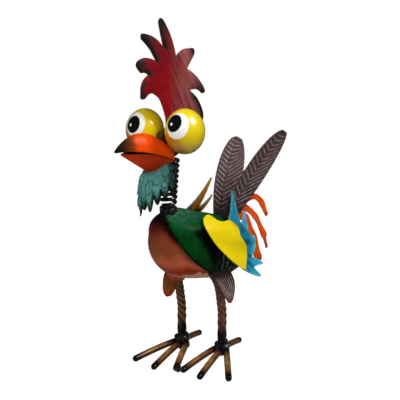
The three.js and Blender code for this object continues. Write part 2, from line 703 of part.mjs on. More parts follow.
for (const [name, side] of [['left', 1], ['right', -1]]) {
  piece(`leg_${name}`, leg(side), paint.bar, stance);
  const lump = ankle(side, GAP);
  const shin = solidOf(bar(legCurve(side), 8, 8, () => BAR_RADIUS + BAR_RIB + GAP));
  const middle = toeSolid(side, TOES.middle, GAP);
  for (const [toe, run] of Object.entries(TOES)) {
    let solid = toeSolid(side, run, 0).subtract(lump).subtract(shin);
    if (toe === 'inner' || toe === 'outer') {
      solid = solid.subtract(middle);
    }
    piece(`toe_${name}_${toe}`, geometryOf(largest(solid)), paint.bar, stance);
  }
}

// Hip collars and thigh feathers
function hipCollar(side) {
  const bore = BAR_RADIUS + BAR_RIB + GAP;
  const profile = vectors2([
    [bore, 0],
    [HIP_COLLAR.neck, 0],
    [HIP_COLLAR.radius, HIP_COLLAR.shoulder],
    [HIP_COLLAR.radius, HIP_COLLAR.height],
    [bore, HIP_COLLAR.height],
    [bore, 0],
  ]);
  const ring = new THREE.LatheGeometry(profile, 6);
  ring.rotateX(90 * DEGREE);
  ring.rotateX(HIP_COLLAR.tilt);
  const foot = legCurve(side).getPointAt(HIP_COLLAR.atShare);
  ring.translate(foot.x, foot.y, foot.z);
  const shin = solidOf(bar(legCurve(side), 8, 14, () => BAR_RADIUS + BAR_RIB + GAP));
  return cutBy(ring, seatInStance, shin);
}

piece('hip_collar_right', hipCollar(-1), paint.breast, stance);

function thighFeather({ x, line, halfWidth, fullness }) {
  const middle = arc(line);
  return sheet((u, v) => {
    const share = THIGH_TIP_SHARE * v;
    const at = middle.getPoint(share);
    const half = halfWidth * Math.pow(1 - Math.pow(share, fullness), THIGH_POINT);
    const tuck = THIGH_TUCK.inwards * Math.pow(Math.max(0, 1 - share / THIGH_TUCK.share), 1.5);
    return new THREE.Vector3(x - Math.sign(x) * tuck, at.x + (1 - 2 * u) * half, at.y);
  }, 4, 8, FEATHER_SHEET);
}

// Room for the leg, and at its top for the collar
function hipRoom(side) {
  const collar = side < 0 ? HIP_COLLAR.radius + HIP_COLLAR.clearance : 0;
  const room = bar(legCurve(side), 8, 14, (t) => (
    Math.max(BAR_RADIUS + BAR_RIB + GAP, t > HIP_COLLAR.atShare - HIP_COLLAR.margin ? collar : 0)));
  return solidOf(room).rotate([0, 0, STANCE_TURN / DEGREE]);
}

for (const [name, thigh] of Object.entries(THIGHS)) {
  const leaf = cutBy(thighFeather(thigh), seat, hipRoom(Math.sign(thigh.x)));
  piece(`thigh_feather_${name}`, leaf, paint.thigh);
}

// The origin is under the middle of the whole bird
rooster.updateMatrixWorld(true);
const middle = new THREE.Box3().setFromObject(rooster, true).getCenter(new THREE.Vector3());
rooster.position.set(-middle.x, -middle.y, 0);

export default rooster;
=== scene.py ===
"""Garden rooster ornament, cut and welded from painted sheet steel on a coil-spring neck."""

import math

import bmesh
import bpy
from mathutils import Matrix, Vector, noise
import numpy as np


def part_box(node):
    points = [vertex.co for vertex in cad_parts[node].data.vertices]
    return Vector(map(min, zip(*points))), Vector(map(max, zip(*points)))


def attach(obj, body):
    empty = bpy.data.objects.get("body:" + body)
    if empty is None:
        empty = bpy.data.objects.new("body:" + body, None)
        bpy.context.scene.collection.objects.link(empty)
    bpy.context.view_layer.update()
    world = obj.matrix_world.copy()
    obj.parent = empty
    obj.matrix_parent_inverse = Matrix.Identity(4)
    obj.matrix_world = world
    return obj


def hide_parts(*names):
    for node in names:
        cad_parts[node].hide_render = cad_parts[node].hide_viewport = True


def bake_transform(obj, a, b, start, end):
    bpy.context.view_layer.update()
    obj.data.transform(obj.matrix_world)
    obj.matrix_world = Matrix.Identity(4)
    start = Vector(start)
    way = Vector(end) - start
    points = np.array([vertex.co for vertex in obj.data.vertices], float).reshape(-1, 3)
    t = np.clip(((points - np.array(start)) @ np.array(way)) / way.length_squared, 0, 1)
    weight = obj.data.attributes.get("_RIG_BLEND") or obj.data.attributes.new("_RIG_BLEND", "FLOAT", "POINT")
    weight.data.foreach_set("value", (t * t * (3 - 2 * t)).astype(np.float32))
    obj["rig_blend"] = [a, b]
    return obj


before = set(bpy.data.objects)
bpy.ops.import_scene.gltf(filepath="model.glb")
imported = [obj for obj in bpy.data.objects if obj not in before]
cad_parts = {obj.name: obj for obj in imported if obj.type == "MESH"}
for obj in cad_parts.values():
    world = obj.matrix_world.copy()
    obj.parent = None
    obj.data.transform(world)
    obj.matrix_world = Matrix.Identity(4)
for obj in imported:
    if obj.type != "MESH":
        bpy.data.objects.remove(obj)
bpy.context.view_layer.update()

bl_info = {
    "name": "Garden Rooster",
    "version": (1, 0, 0),
    "blender": (4, 5, 0),
    "location": "View3D > Sidebar > Rooster",
    "description": "Builds a sheet-metal garden rooster piece by piece",
    "category": "Add Mesh",
}

# Shapes are worked out in millimetres. The bird looks along -Y, its left side is +X and z = 0 is the ground.
MM = 0.001
UP = Vector((0, 0, 1))
LEFT = Vector((1, 0, 0))
BACK = Vector((0, 1, 0))
# Thickness of the plates and of the thinner feathers, and the room between sheets that lie on each other
SHEET = 1.5
THIN_SHEET = 1.2
GAP = 0.3
# Spacing of the lines that score a plate so that it can bend
PLATE_STEP = 2.5
# Edges of the sheet sharper than this are rounded
SHARP_EDGE = math.radians(50)
# How close two corners are to count as one: after a cut or a roll, and after a spin or a mirror
CUT_SLACK = 1e-4
MERGE_SLACK = 1e-3

NECK_FOOT = Vector((0, -55, 213))
NECK_TOP = Vector((0, -49, 276))
HEAD_CENTRE = Vector((0, -54, 292))
HEAD_FRONT_Y = -60.5
EYES = {"left": Vector((38.5, -60, 310)), "right": Vector((-38, -60, 305))}

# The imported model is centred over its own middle, so the left eye says where the bird stands in it
eye_low, eye_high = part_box("eye_left")
SHIFT = (eye_low + eye_high) / 2 - EYES["left"] * MM


def in_frame(point):
    """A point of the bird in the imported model's frame, in metres."""
    return Vector(point) * MM + SHIFT


# Sizes and colours


def length(name, default, description):
    """A size that a user may change, kept in metres with its default given in millimetres."""
    return bpy.props.FloatProperty(
        name=name, description=description, default=default * MM, min=0.0, unit="LENGTH", precision=4
    )


def angle(name, default, description):
    """An angle that a user may change, with its default given in degrees."""
    return bpy.props.FloatProperty(
        name=name, description=description, default=math.radians(default), subtype="ANGLE"
    )


def linear(hex_colour):
    """Linear red, green, blue and alpha of an sRGB hex colour."""
    parts = [int(hex_colour[i : i + 2], 16) / 255 for i in (1, 3, 5)]
    return tuple(c / 12.92 if c <= 0.04045 else ((c + 0.055) / 1.055) ** 2.4 for c in parts) + (1.0,)


def colour(name, default, description):
    """A paint colour that a user may change, with its default given as an sRGB hex colour."""
    return bpy.props.FloatVectorProperty(
        name=name, description=description, default=linear(default), size=4, min=0, max=1, subtype="COLOR"
    )


class RoosterBody(bpy.types.PropertyGroup):
    """Sizes of the egg-shaped body and the cape over its back"""

    half_width: length("Half width", 43, "From the middle of the body to its side")
    front: length("Front reach", 81, "From the middle of the body to the breast")
    rear: length("Rear reach", 76, "From the middle of the body to the rump")
    top: length("Top reach", 28.4, "From the middle of the body to the back")
    bottom: length("Bottom reach", 54.7, "From the middle of the body to the belly")
    tilt: angle("Tilt", 17.7, "How far the body leans back")
    shoulder: length("Shoulder rise", 10, "Height of the swelling under the neck")
    breast: length("Breast rise", 14, "Height of the swelling of the breast")
    cape: length("Cape thickness", 1.5, "Thickness of the cape's sheet")


class RoosterHead(bpy.types.PropertyGroup):
    """Sizes of the neck, eyes, beak, comb and wattle"""

    eye_half_width: length("Eye half width", 24, "From the middle of an eye to its side")
    eye_half_height: length("Eye half height", 27, "From the middle of an eye to its top")
    beak_half_width: length("Beak half width", 20.5, "Half the width of the beak at the face")
    spring_diameter: length("Spring diameter", 22, "Outside diameter of the neck spring")
    spring_wire: length("Spring wire", 4.5, "Diameter of the spring's wire")
    spring_turns: bpy.props.IntProperty(
        name="Spring turns", description="Number of coils in the neck", default=9, min=2
    )
    wattle_half_width: length("Wattle half width", 18.5, "Half the width of the bib under the beak")
    comb_dish: length("Comb dish", 0.6, "Depth to which the comb is dished")


class RoosterWings(bpy.types.PropertyGroup):
    """Sizes of the wing plates and their fringes"""

    dome: length("Wing dome", 6, "Height to which a wing plate is domed")
    clearance: length("Clearance", 4.4, "Room that the fringe keeps from the body")
    lift: length("Fringe lift", 21, "How far out the upper spikes of the fringe bend")


class RoosterTail(bpy.types.PropertyGroup):
    """Sizes of the tail feathers and the plume"""

    half_width: length("Feather half width", 22.9, "Half the width of a tail feather")
    fold: bpy.props.FloatProperty(
        name="Feather fold",
        description="Rise of a feather's edge over its width",
        default=0.2,
        subtype="FACTOR",
    )
    barbs: bpy.props.IntProperty(
        name="Barbs", description="Number of raised barbs along a feather", default=18, min=2
    )
    relief: length("Barb relief", 1.0, "Height of a raised barb")


class RoosterLegs(bpy.types.PropertyGroup):
    """Sizes of the legs and toes"""

    turn: angle("Stance turn", 22, "How far the feet are turned to the bird's left")
    spread: length("Leg spread", 30, "From the middle to a leg")
    bar_radius: length("Leg radius", 5.6, "Radius of the leg bar between its ribs")
    rib: length("Rib height", 0.75, "Height of the ribs on the leg bar")
    rib_pitch: length("Rib pitch", 9.5, "Length of leg from one winding rib to the next")
    toe_radius: length("Toe radius", 4.2, "Radius of the toe rods")


class RoosterPaints(bpy.types.PropertyGroup):
    """Main colours of the paints"""

    breast: colour("Breast", "#8a4229", "Rust-red enamel on the breast")
    cape: colour("Cape", "#04380e", "Bottle-green enamel on the back")
    comb: colour("Comb", "#740a13", "Deep red enamel in the middle of the comb")
    eye: colour("Eye", "#dfc206", "Yellow enamel on the eyes")
    beak: colour("Beak", "#e84908", "Orange enamel on the beak")
    wattle: colour("Wattle", "#3d7a72", "Teal wash on the wattle")
    wing: colour("Wing", "#dac20a", "Yellow enamel on the wings")
    fringe: colour("Fringe", "#2497b3", "Turquoise enamel on the fringes")
    feather: colour("Feather", "#584345", "Mauve-brown enamel on the tail feathers")
    plume: colour("Plume", "#de4d08", "Orange enamel on the plume")
    lacquer: colour("Leg lacquer", "#64381a", "Amber lacquer over the steel of the legs")


SETTINGS = {
    "rooster_body": RoosterBody,
    "rooster_head": RoosterHead,
    "rooster_wings": RoosterWings,
    "rooster_tail": RoosterTail,
    "rooster_legs": RoosterLegs,
    "rooster_paints": RoosterPaints,
}


# Curves


def arc(points, share):
    """Point at a share of the bowed line between two points, with a third that pulls it."""
    start, pull, end = (Vector(p) for p in points)
    return start.lerp(pull, share).lerp(pull.lerp(end, share), share)


def through(points, share):
    """Point at a share of the smooth line through some points."""
    points = [Vector(p) for p in points]
    last = len(points) - 1
    step = min(int(share * last), last - 1)
    t = share * last - step
    a, b = points[step], points[step + 1]
    leaving = (b - points[max(step - 1, 0)]) / 2
    arriving = (points[min(step + 2, last)] - a) / 2
    return (
        a * ((1 + 2 * t) * (1 - t) ** 2)
        + b * (t * t * (3 - 2 * t))
        + leaving * (t * (1 - t) ** 2)
        + arriving * (t * t * (t - 1))
    )


def samples(curve, points, count):
    """Points along a curve, without its start."""
    return [curve(points, step / count) for step in range(1, count + 1)]


# Steps along a spike's flank and round its tip
FLANK_STEPS = 10
TIP_STEPS = 6


def spikes(start, teeth):
    """Outline of pointed spikes: each has a tip, the notch after it, two bows and a bluntness."""
    outline = []
    here = Vector(start)

    def bowed(a, b, bow):
        chord = b - a
        return (a + b) / 2 + Vector((-chord.y, chord.x)) * bow

    for tip, notch, (rise, fall), blunt in teeth:
        tip, notch = Vector(tip), Vector(notch)
        axis = (tip - (here + notch) / 2).normalized()
        side = Vector((-axis.y, axis.x)) * blunt
        if side.dot(here - notch) < 0:
            side = -side
        near = tip - axis * blunt + side
        far = tip - axis * blunt - side
        outline += samples(arc, (here, bowed(here, near, rise), near), FLANK_STEPS)
        outline += samples(arc, (near, tip + axis * blunt, far), TIP_STEPS)
        outline += samples(arc, (far, bowed(far, notch, fall), notch), FLANK_STEPS)
        here = notch
    return outline


def to_edge(point, outline):
    """The way from a point of a plate to the nearest point of its outline."""
    ways = []
    for a, b in zip(outline, outline[1:] + outline[:1]):
        along = b - a
        share = (point - a).dot(along) / max(along.length_squared, 1e-9)
        ways.append(a + along * min(max(share, 0), 1) - point)
    return min(ways, key=lambda way: way.length_squared)


def soft_max(a, b, blend):
    """The larger of two heights, with a rounded change from one to the other."""
    return (a + b + math.hypot(a - b, blend)) / 2


def ramp(value, low, high):
    """0 at low, 1 at high and smooth between them."""
    t = min(max((value - low) / (high - low), 0), 1)
    return t * t * (3 - 2 * t)


# Meshes


def paint_layers(bm):
    """The two marks that each corner carries for its paint: its tone, and how much of a raised line it is."""
    return bm.verts.layers.float.new("tone"), bm.verts.layers.float.new("ridge")


def cut(bm, spot, way, keep_front=False):
    """Cuts a mesh along a plane, may drop what lies behind it, and gives back what the cut made."""
    return bmesh.ops.bisect_plane(
        bm,
        geom=bm.verts[:] + bm.edges[:] + bm.faces[:],
        dist=CUT_SLACK,
        plane_co=spot,
        plane_no=way,
        clear_inner=keep_front,
    )["geom_cut"]


def close(bm):
    """Fills the open ends of a mesh and turns its faces outwards."""
    bmesh.ops.holes_fill(bm, edges=[edge for edge in bm.edges if edge.is_boundary])
    bmesh.ops.recalc_face_normals(bm, faces=bm.faces)


def shaped(bm, place, marks, size=(1, 1)):
    """Keeps each flat corner as a paint coordinate and its marks, then bends it to place(u, v)."""
    paint = bm.loops.layers.uv.new("paint")
    tone, ridge = paint_layers(bm)
    for face in bm.faces:
        for loop in face.loops:
            u, v = loop.vert.co.xy
            loop[paint].uv = (u * size[0] * MM, v * size[1] * MM)
    for vert in bm.verts:
        u, v = vert.co.xy
        vert[tone], vert[ridge] = marks(u, v)
        vert.co = place(u, v)
    bm.normal_update()
    return bm


def sheet(columns, rows, size, place, marks):
    """A sheet of columns by rows faces, where u and v run from 0 to 1 over its size in millimetres."""
    bm = bmesh.new()
    bmesh.ops.create_grid(bm, x_segments=columns, y_segments=rows, size=0.5)
    bmesh.ops.translate(bm, vec=(0.5, 0.5, 0), verts=bm.verts)
    return shaped(bm, place, marks, size)


def plate(outline, place, marks, facing):
    """A flat plate cut to an outline, scored by a grid so that it can bend, facing one way."""
    bm = bmesh.new()
    bm.faces.new([bm.verts.new((u, v, 0)) for u, v in outline])
    for axis in (Vector((1, 0, 0)), Vector((0, 1, 0))):
        reach = [axis.xy.dot(p) for p in outline]
        for line in range(1, int((max(reach) - min(reach)) / PLATE_STEP) + 1):
            cut(bm, axis * (min(reach) + line * PLATE_STEP), axis)
    shaped(bm, place, marks)
    if sum(face.normal.dot(facing) * face.calc_area() for face in bm.faces) < 0:
        bmesh.ops.reverse_faces(bm, faces=bm.faces)
    return bm


def tube(line, sides, rows, radius, marks):
    """A closed bar along line(t), where radius(t, turn) gives its section."""
    points = [line(row / rows) for row in range(rows + 1)]
    run = sum((b - a).length for a, b in zip(points, points[1:]))
    frames = []
    across = None
    for row in range(rows + 1):
        along = (points[min(row + 1, rows)] - points[max(row - 1, 0)]).normalized()
        if across is None:
            across = along.orthogonal()
        across = (across - along * across.dot(along)).normalized()
        frames.append((across, along.cross(across)))

    def place(u, v):
        row = round(v * rows)
        turn = 2 * math.pi * u
        reach = radius(v, turn)
        side, lift = frames[row]
        return points[row] + (side * math.cos(turn) + lift * math.sin(turn)) * reach

    bm = sheet(sides, rows, (sides, run), place, marks)
    bmesh.ops.remove_doubles(bm, verts=bm.verts, dist=CUT_SLACK)
    close(bm)
    return bm


def ball(centre, half, detail, marks=None, lumps=0.0, grain=8.0):
    """A ball with its own half sizes, lumpy where asked."""
    bm = bmesh.new()
    bmesh.ops.create_icosphere(bm, subdivisions=detail, radius=1)
    tone, ridge = paint_layers(bm)
    for vert in bm.verts:
        out = vert.co.normalized()
        spot = Vector(a * b for a, b in zip(out, half))
        lump = lumps * noise.noise((spot + centre) / grain)
        vert[tone], vert[ridge] = marks(out) if marks else (0.5 + lump, 0.0)
        vert.co = centre + spot + out * lump
    bm.normal_update()
    return bm


def join(bm, other):
    """Puts a second mesh into the first."""
    kept = bpy.data.meshes.new("joined")
    other.to_mesh(kept)
    other.free()
    bm.from_mesh(kept)
    bpy.data.meshes.remove(kept)


def piece(
    name, bm, body, slot, materials, node=None, thickness=None, offset=0.0, inner=0, rim=0, even=True
):
    """Turns a mesh in millimetres into a finished piece that rides a body and may stand for a CAD node."""
    bmesh.ops.scale(bm, vec=(MM, MM, MM), verts=bm.verts)
    bmesh.ops.translate(bm, vec=SHIFT, verts=bm.verts)
    mesh = bpy.data.meshes.new(f"rooster_{name}")
    bm.to_mesh(mesh)
    bm.free()
    mesh.shade_smooth()
    made = bpy.data.objects.new(f"rooster_{name}", mesh)
    bpy.context.scene.collection.objects.link(made)
    for material in materials:
        mesh.materials.append(material)
    if thickness:
        wall = made.modifiers.new("sheet", "SOLIDIFY")
        wall.thickness = thickness * MM
        wall.offset = offset
        wall.material_offset = inner
        wall.material_offset_rim = rim
        wall.use_even_offset = even
        edge = made.modifiers.new("edge", "BEVEL")
        edge.width = thickness * MM / 4
        edge.segments = 2
        edge.limit_method = "ANGLE"
        edge.angle_limit = SHARP_EDGE
        edge.harden_normals = True
    if node:
        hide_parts(node)
    if body:
        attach(made, body)
    return made


# Materials


def add(tree, kind, inputs=None, stops=(), **settings):
    """Adds one node with its settings, its inputs set or linked, and the stops of its colour band."""
    node = tree.nodes.new(kind)
    for name, value in settings.items():
        setattr(node, name, value)
    for name, value in (inputs or {}).items():
        if isinstance(value, bpy.types.NodeSocket):
            tree.links.new(value, node.inputs[name])
        else:
            node.inputs[name].default_value = value
    while stops and len(node.color_ramp.elements) < len(stops):
        node.color_ramp.elements.new(0.5)
    for number, (position, shade) in enumerate(stops):
        element = node.color_ramp.elements[number]
        element.position = position
        element.color = linear(shade) if isinstance(shade, str) else shade
    return node


def blank(name):
    """A material with a shader of its own, and its node tree."""
    material = bpy.data.materials.new(name)
    material.use_nodes = True
    tree = material.node_tree
    shader = next(node for node in tree.nodes if node.type == "BSDF_PRINCIPLED")
    return material, tree, shader


# Size of the blotches in the paint, in millimetres: on the sheets, and on the eyes with their finer specks
BLOTCH = 14
EYE_BLOTCH = 11
EYE_SPECK = 1.6


def enamel(
    name,
    tones,
    grain=(3, 30, 3),
    smudge=0.3,
    wash=0.25,
    ridge=None,
    worn=(0.35, 0.6, 0.35),
    roughness=0.3,
    metallic=0.0,
    specular=0.12,
    coat=0.1,
    coat_roughness=0.08,
    bump=0.15,
    on_object=False,
):
    """Enamel brushed on sheet steel: tone picks its colour, strokes smudge it, raised lines show another."""
    if name in bpy.data.materials:
        return bpy.data.materials[name]
    material, tree, shader = blank(name)
    place = add(tree, "ShaderNodeTexCoord").outputs["Object"]
    if not on_object:
        place = add(tree, "ShaderNodeUVMap", uv_map="paint").outputs["UV"]
    brush_place = add(
        tree, "ShaderNodeMapping", {"Vector": place, "Scale": [1 / (mm * MM) for mm in grain]}
    ).outputs["Vector"]
    brush = add(
        tree, "ShaderNodeTexNoise", {"Vector": brush_place, "Scale": 1.0, "Detail": 4.0, "Roughness": 0.62}
    ).outputs["Fac"]
    cloud = add(
        tree, "ShaderNodeTexNoise", {"Vector": place, "Scale": 1 / (BLOTCH * MM), "Detail": 3.0}
    ).outputs["Fac"]
    tone = add(tree, "ShaderNodeAttribute", attribute_name="tone").outputs["Fac"]
    strokes = add(tree, "ShaderNodeMath", {0: brush, 1: cloud}, operation="ADD").outputs[0]
    moved = add(
        tree,
        "ShaderNodeMapRange",
        {"Value": strokes, "From Min": 0.6, "From Max": 1.4, "To Min": -smudge, "To Max": smudge},
    ).outputs["Result"]
    level = add(tree, "ShaderNodeMath", {0: tone, 1: moved}, operation="ADD", use_clamp=True).outputs[0]
    shade = add(tree, "ShaderNodeValToRGB", {"Fac": level}, stops=tones).outputs["Color"]
    light = add(
        tree,
        "ShaderNodeMapRange",
        {"Value": brush, "From Min": 0.3, "From Max": 0.7, "To Min": 1 - wash, "To Max": 1 + wash},
    ).outputs["Result"]
    shade = add(tree, "ShaderNodeHueSaturation", {"Color": shade, "Value": light}).outputs["Color"]
    if ridge:
        line = add(tree, "ShaderNodeAttribute", attribute_name="ridge").outputs["Fac"]
        low, high, least = worn
        streaks = add(
            tree,
            "ShaderNodeMapRange",
            {"Value": brush, "From Min": low, "From Max": high, "To Min": least, "To Max": 1.0},
        ).outputs["Result"]
        share = add(
            tree, "ShaderNodeMath", {0: line, 1: streaks}, operation="MULTIPLY", use_clamp=True
        ).outputs[0]
        shade = add(
            tree, "ShaderNodeMix", {"Factor": share, "A": shade, "B": linear(ridge)}, data_type="RGBA"
        ).outputs["Result"]
    tree.links.new(shade, shader.inputs["Base Color"])
    smooth, dull = roughness * 0.8, roughness * 1.25
    gloss = add(
        tree,
        "ShaderNodeMapRange",
        {"Value": cloud, "From Min": 0.3, "From Max": 0.7, "To Min": smooth, "To Max": dull},
    ).outputs["Result"]
    tree.links.new(gloss, shader.inputs["Roughness"])
    relief = add(
        tree, "ShaderNodeBump", {"Height": brush, "Strength": 1.0, "Distance": bump * MM}
    ).outputs["Normal"]
    tree.links.new(relief, shader.inputs["Normal"])
    shader.inputs["Metallic"].default_value = metallic
    shader.inputs["Specular IOR Level"].default_value = specular
    shader.inputs["Coat Weight"].default_value = coat
    shader.inputs["Coat Roughness"].default_value = coat_roughness
    return material


def eye_enamel(name, yellow):
    """Glossy enamel on a ball: the ball's own marks place a white disc, a black pupil and a white spot that
    is a painted highlight.
    """
    if name in bpy.data.materials:
        return bpy.data.materials[name]
    material, tree, shader = blank(name)
    place = add(tree, "ShaderNodeTexCoord").outputs["Object"]
    cloud = add(
        tree,
        "ShaderNodeTexNoise",
        {"Vector": place, "Scale": 1 / (EYE_BLOTCH * MM), "Detail": 4.0, "Roughness": 0.6},
    ).outputs["Fac"]
    speck = add(
        tree, "ShaderNodeTexNoise", {"Vector": place, "Scale": 1 / (EYE_SPECK * MM), "Detail": 2.0}
    ).outputs["Fac"]
    low = add(tree, "ShaderNodeAttribute", attribute_name="tone").outputs["Fac"]
    drift = add(
        tree,
        "ShaderNodeMapRange",
        {"Value": cloud, "From Min": 0.3, "From Max": 0.7, "To Min": -0.1, "To Max": 0.1},
    ).outputs["Result"]
    level = add(tree, "ShaderNodeMath", {0: low, 1: drift}, operation="ADD", use_clamp=True).outputs[0]
    tones = [(0.0, "#c87f04"), (0.3, "#caa004"), (0.6, yellow), (1.0, "#e8cc12")]
    shade = add(tree, "ShaderNodeValToRGB", {"Fac": level}, stops=tones).outputs["Color"]
    wobble = add(
        tree,
        "ShaderNodeMapRange",
        {"Value": speck, "From Min": 0.3, "From Max": 0.7, "To Min": -0.02, "To Max": 0.02},
    ).outputs["Result"]
    # The white spot is a painted highlight on the pupil
    for mark, paint in (("disc", "#f4f4f0"), ("pupil", "#070807"), ("spot", "#fafaf8")):
        reach = add(tree, "ShaderNodeAttribute", attribute_name=mark).outputs["Fac"]
        wavy = add(tree, "ShaderNodeMath", {0: reach, 1: wobble}, operation="ADD").outputs[0]
        inside = add(
            tree,
            "ShaderNodeMapRange",
            {"Value": wavy, "From Min": 0.97, "From Max": 1.03, "To Min": 1.0, "To Max": 0.0},
        ).outputs["Result"]
        shade = add(
            tree, "ShaderNodeMix", {"Factor": inside, "A": shade, "B": linear(paint)}, data_type="RGBA"
        ).outputs["Result"]
    tree.links.new(shade, shader.inputs["Base Color"])
    relief = add(
        tree, "ShaderNodeBump", {"Height": cloud, "Strength": 0.5, "Distance": 0.1 * MM}
    ).outputs["Normal"]
    tree.links.new(relief, shader.inputs["Normal"])
    shader.inputs["Roughness"].default_value = 0.28
    shader.inputs["Coat Weight"].default_value = 1.0
    shader.inputs["Coat Roughness"].default_value = 0.02
    return material


def black_gloss():
    """Black enamel flowed over steel: deep black with sharp small highlights on every lump."""
    return enamel(
        "black_enamel",
        [(0.0, "#060706"), (1.0, "#191b19")],
        grain=(6, 6, 6),
        wash=0.3,
        roughness=0.22,
        specular=0.5,
        coat=1.0,
        bump=0.25,
        on_object=True,
    )


def paints(context):
    """The main colours, as linear values."""
    group = context.scene.rooster_paints
    return {name: tuple(getattr(group, name)) for name in RoosterPaints.__annotations__}


# Body

BODY_CENTRE = Vector((0, 8.2, 163.5))
SHOULDER_SPREAD = math.radians(13.7)
BREAST_SPREAD = math.radians(38)
BREAST_DROOP = math.radians(17)
CAPE_EDGE_NORMAL = Vector((0.667, 0.497, 0.556)).normalized()
CAPE_EDGE_OFFSET = 83
# Spacing of the ripples low on the cape
CAPE_RIPPLE = 9
# The breast's paint runs from pale at this height to dark so far above it: painted reflections, of the pale
# floor below and of the dark studio above
BREAST_PALE_Z = 107
BREAST_PAINT_SPAN = 100
# Where the cape's green goes over to black, the wing's painted shadow: behind this y at this height, and
# further back lower down
CAPE_SHADOW_Y = -41
CAPE_SHADOW_TOP_Z = 182
CAPE_SHADOW_LEAN = 0.65


class Egg:
    """The body's surface: a tilted egg with a raised shoulder and a full breast."""

    def __init__(self, sizes):
        self.half_width = sizes.half_width / MM
        self.front, self.rear = sizes.front / MM, sizes.rear / MM
        self.top, self.bottom = sizes.top / MM, sizes.bottom / MM
        self.sine, self.cosine = math.sin(sizes.tilt), math.cos(sizes.tilt)
        self.shoulder, self.breast = sizes.shoulder / MM, sizes.breast / MM
        self.to_neck = (NECK_FOOT - BODY_CENTRE).normalized()
        self.to_breast = Vector((0, -math.cos(BREAST_DROOP), -math.sin(BREAST_DROOP)))

    def reach(self, out):
        """How far the surface is from the body's centre, along a unit direction."""
        along = out.z * self.sine - out.y * self.cosine
        up = out.z * self.cosine + out.y * self.sine
        egg = 1 / math.hypot(
            out.x / self.half_width,
            along / (self.front if along > 0 else self.rear),
            up / (self.top if up > 0 else self.bottom),
        )
        neck = math.acos(min(max(out.dot(self.to_neck), -1), 1)) / SHOULDER_SPREAD
        breast = math.acos(min(max(out.dot(self.to_breast), -1), 1)) / BREAST_SPREAD
        return egg + self.shoulder * math.exp(-neck * neck) + self.breast * math.exp(-breast * breast)

    def height(self, point):
        """How far a point stands off the surface."""
        out = point - BODY_CENTRE
        return out.length - self.reach(out.normalized())


def behind_cape_edge(point):
    """How far a point lies behind the plane that cuts the cape's front edge, on either side."""
    return CAPE_EDGE_NORMAL.dot(Vector((abs(point.x), point.y, point.z))) - CAPE_EDGE_OFFSET


def body_skin(egg, grow, marks, dents):
    """A closed skin over the egg, with shallow dents of the hammered sheet."""
    bm = bmesh.new()
    bmesh.ops.create_icosphere(bm, subdivisions=6, radius=1)
    tone, ridge = paint_layers(bm)
    for vert in bm.verts:
        out = vert.co.normalized()
        vert.co = BODY_CENTRE + out * (egg.reach(out) + grow)
        vert.co += out * dents(vert.co)
        vert[tone], vert[ridge] = marks(vert.co)
    bm.normal_update()
    return bm


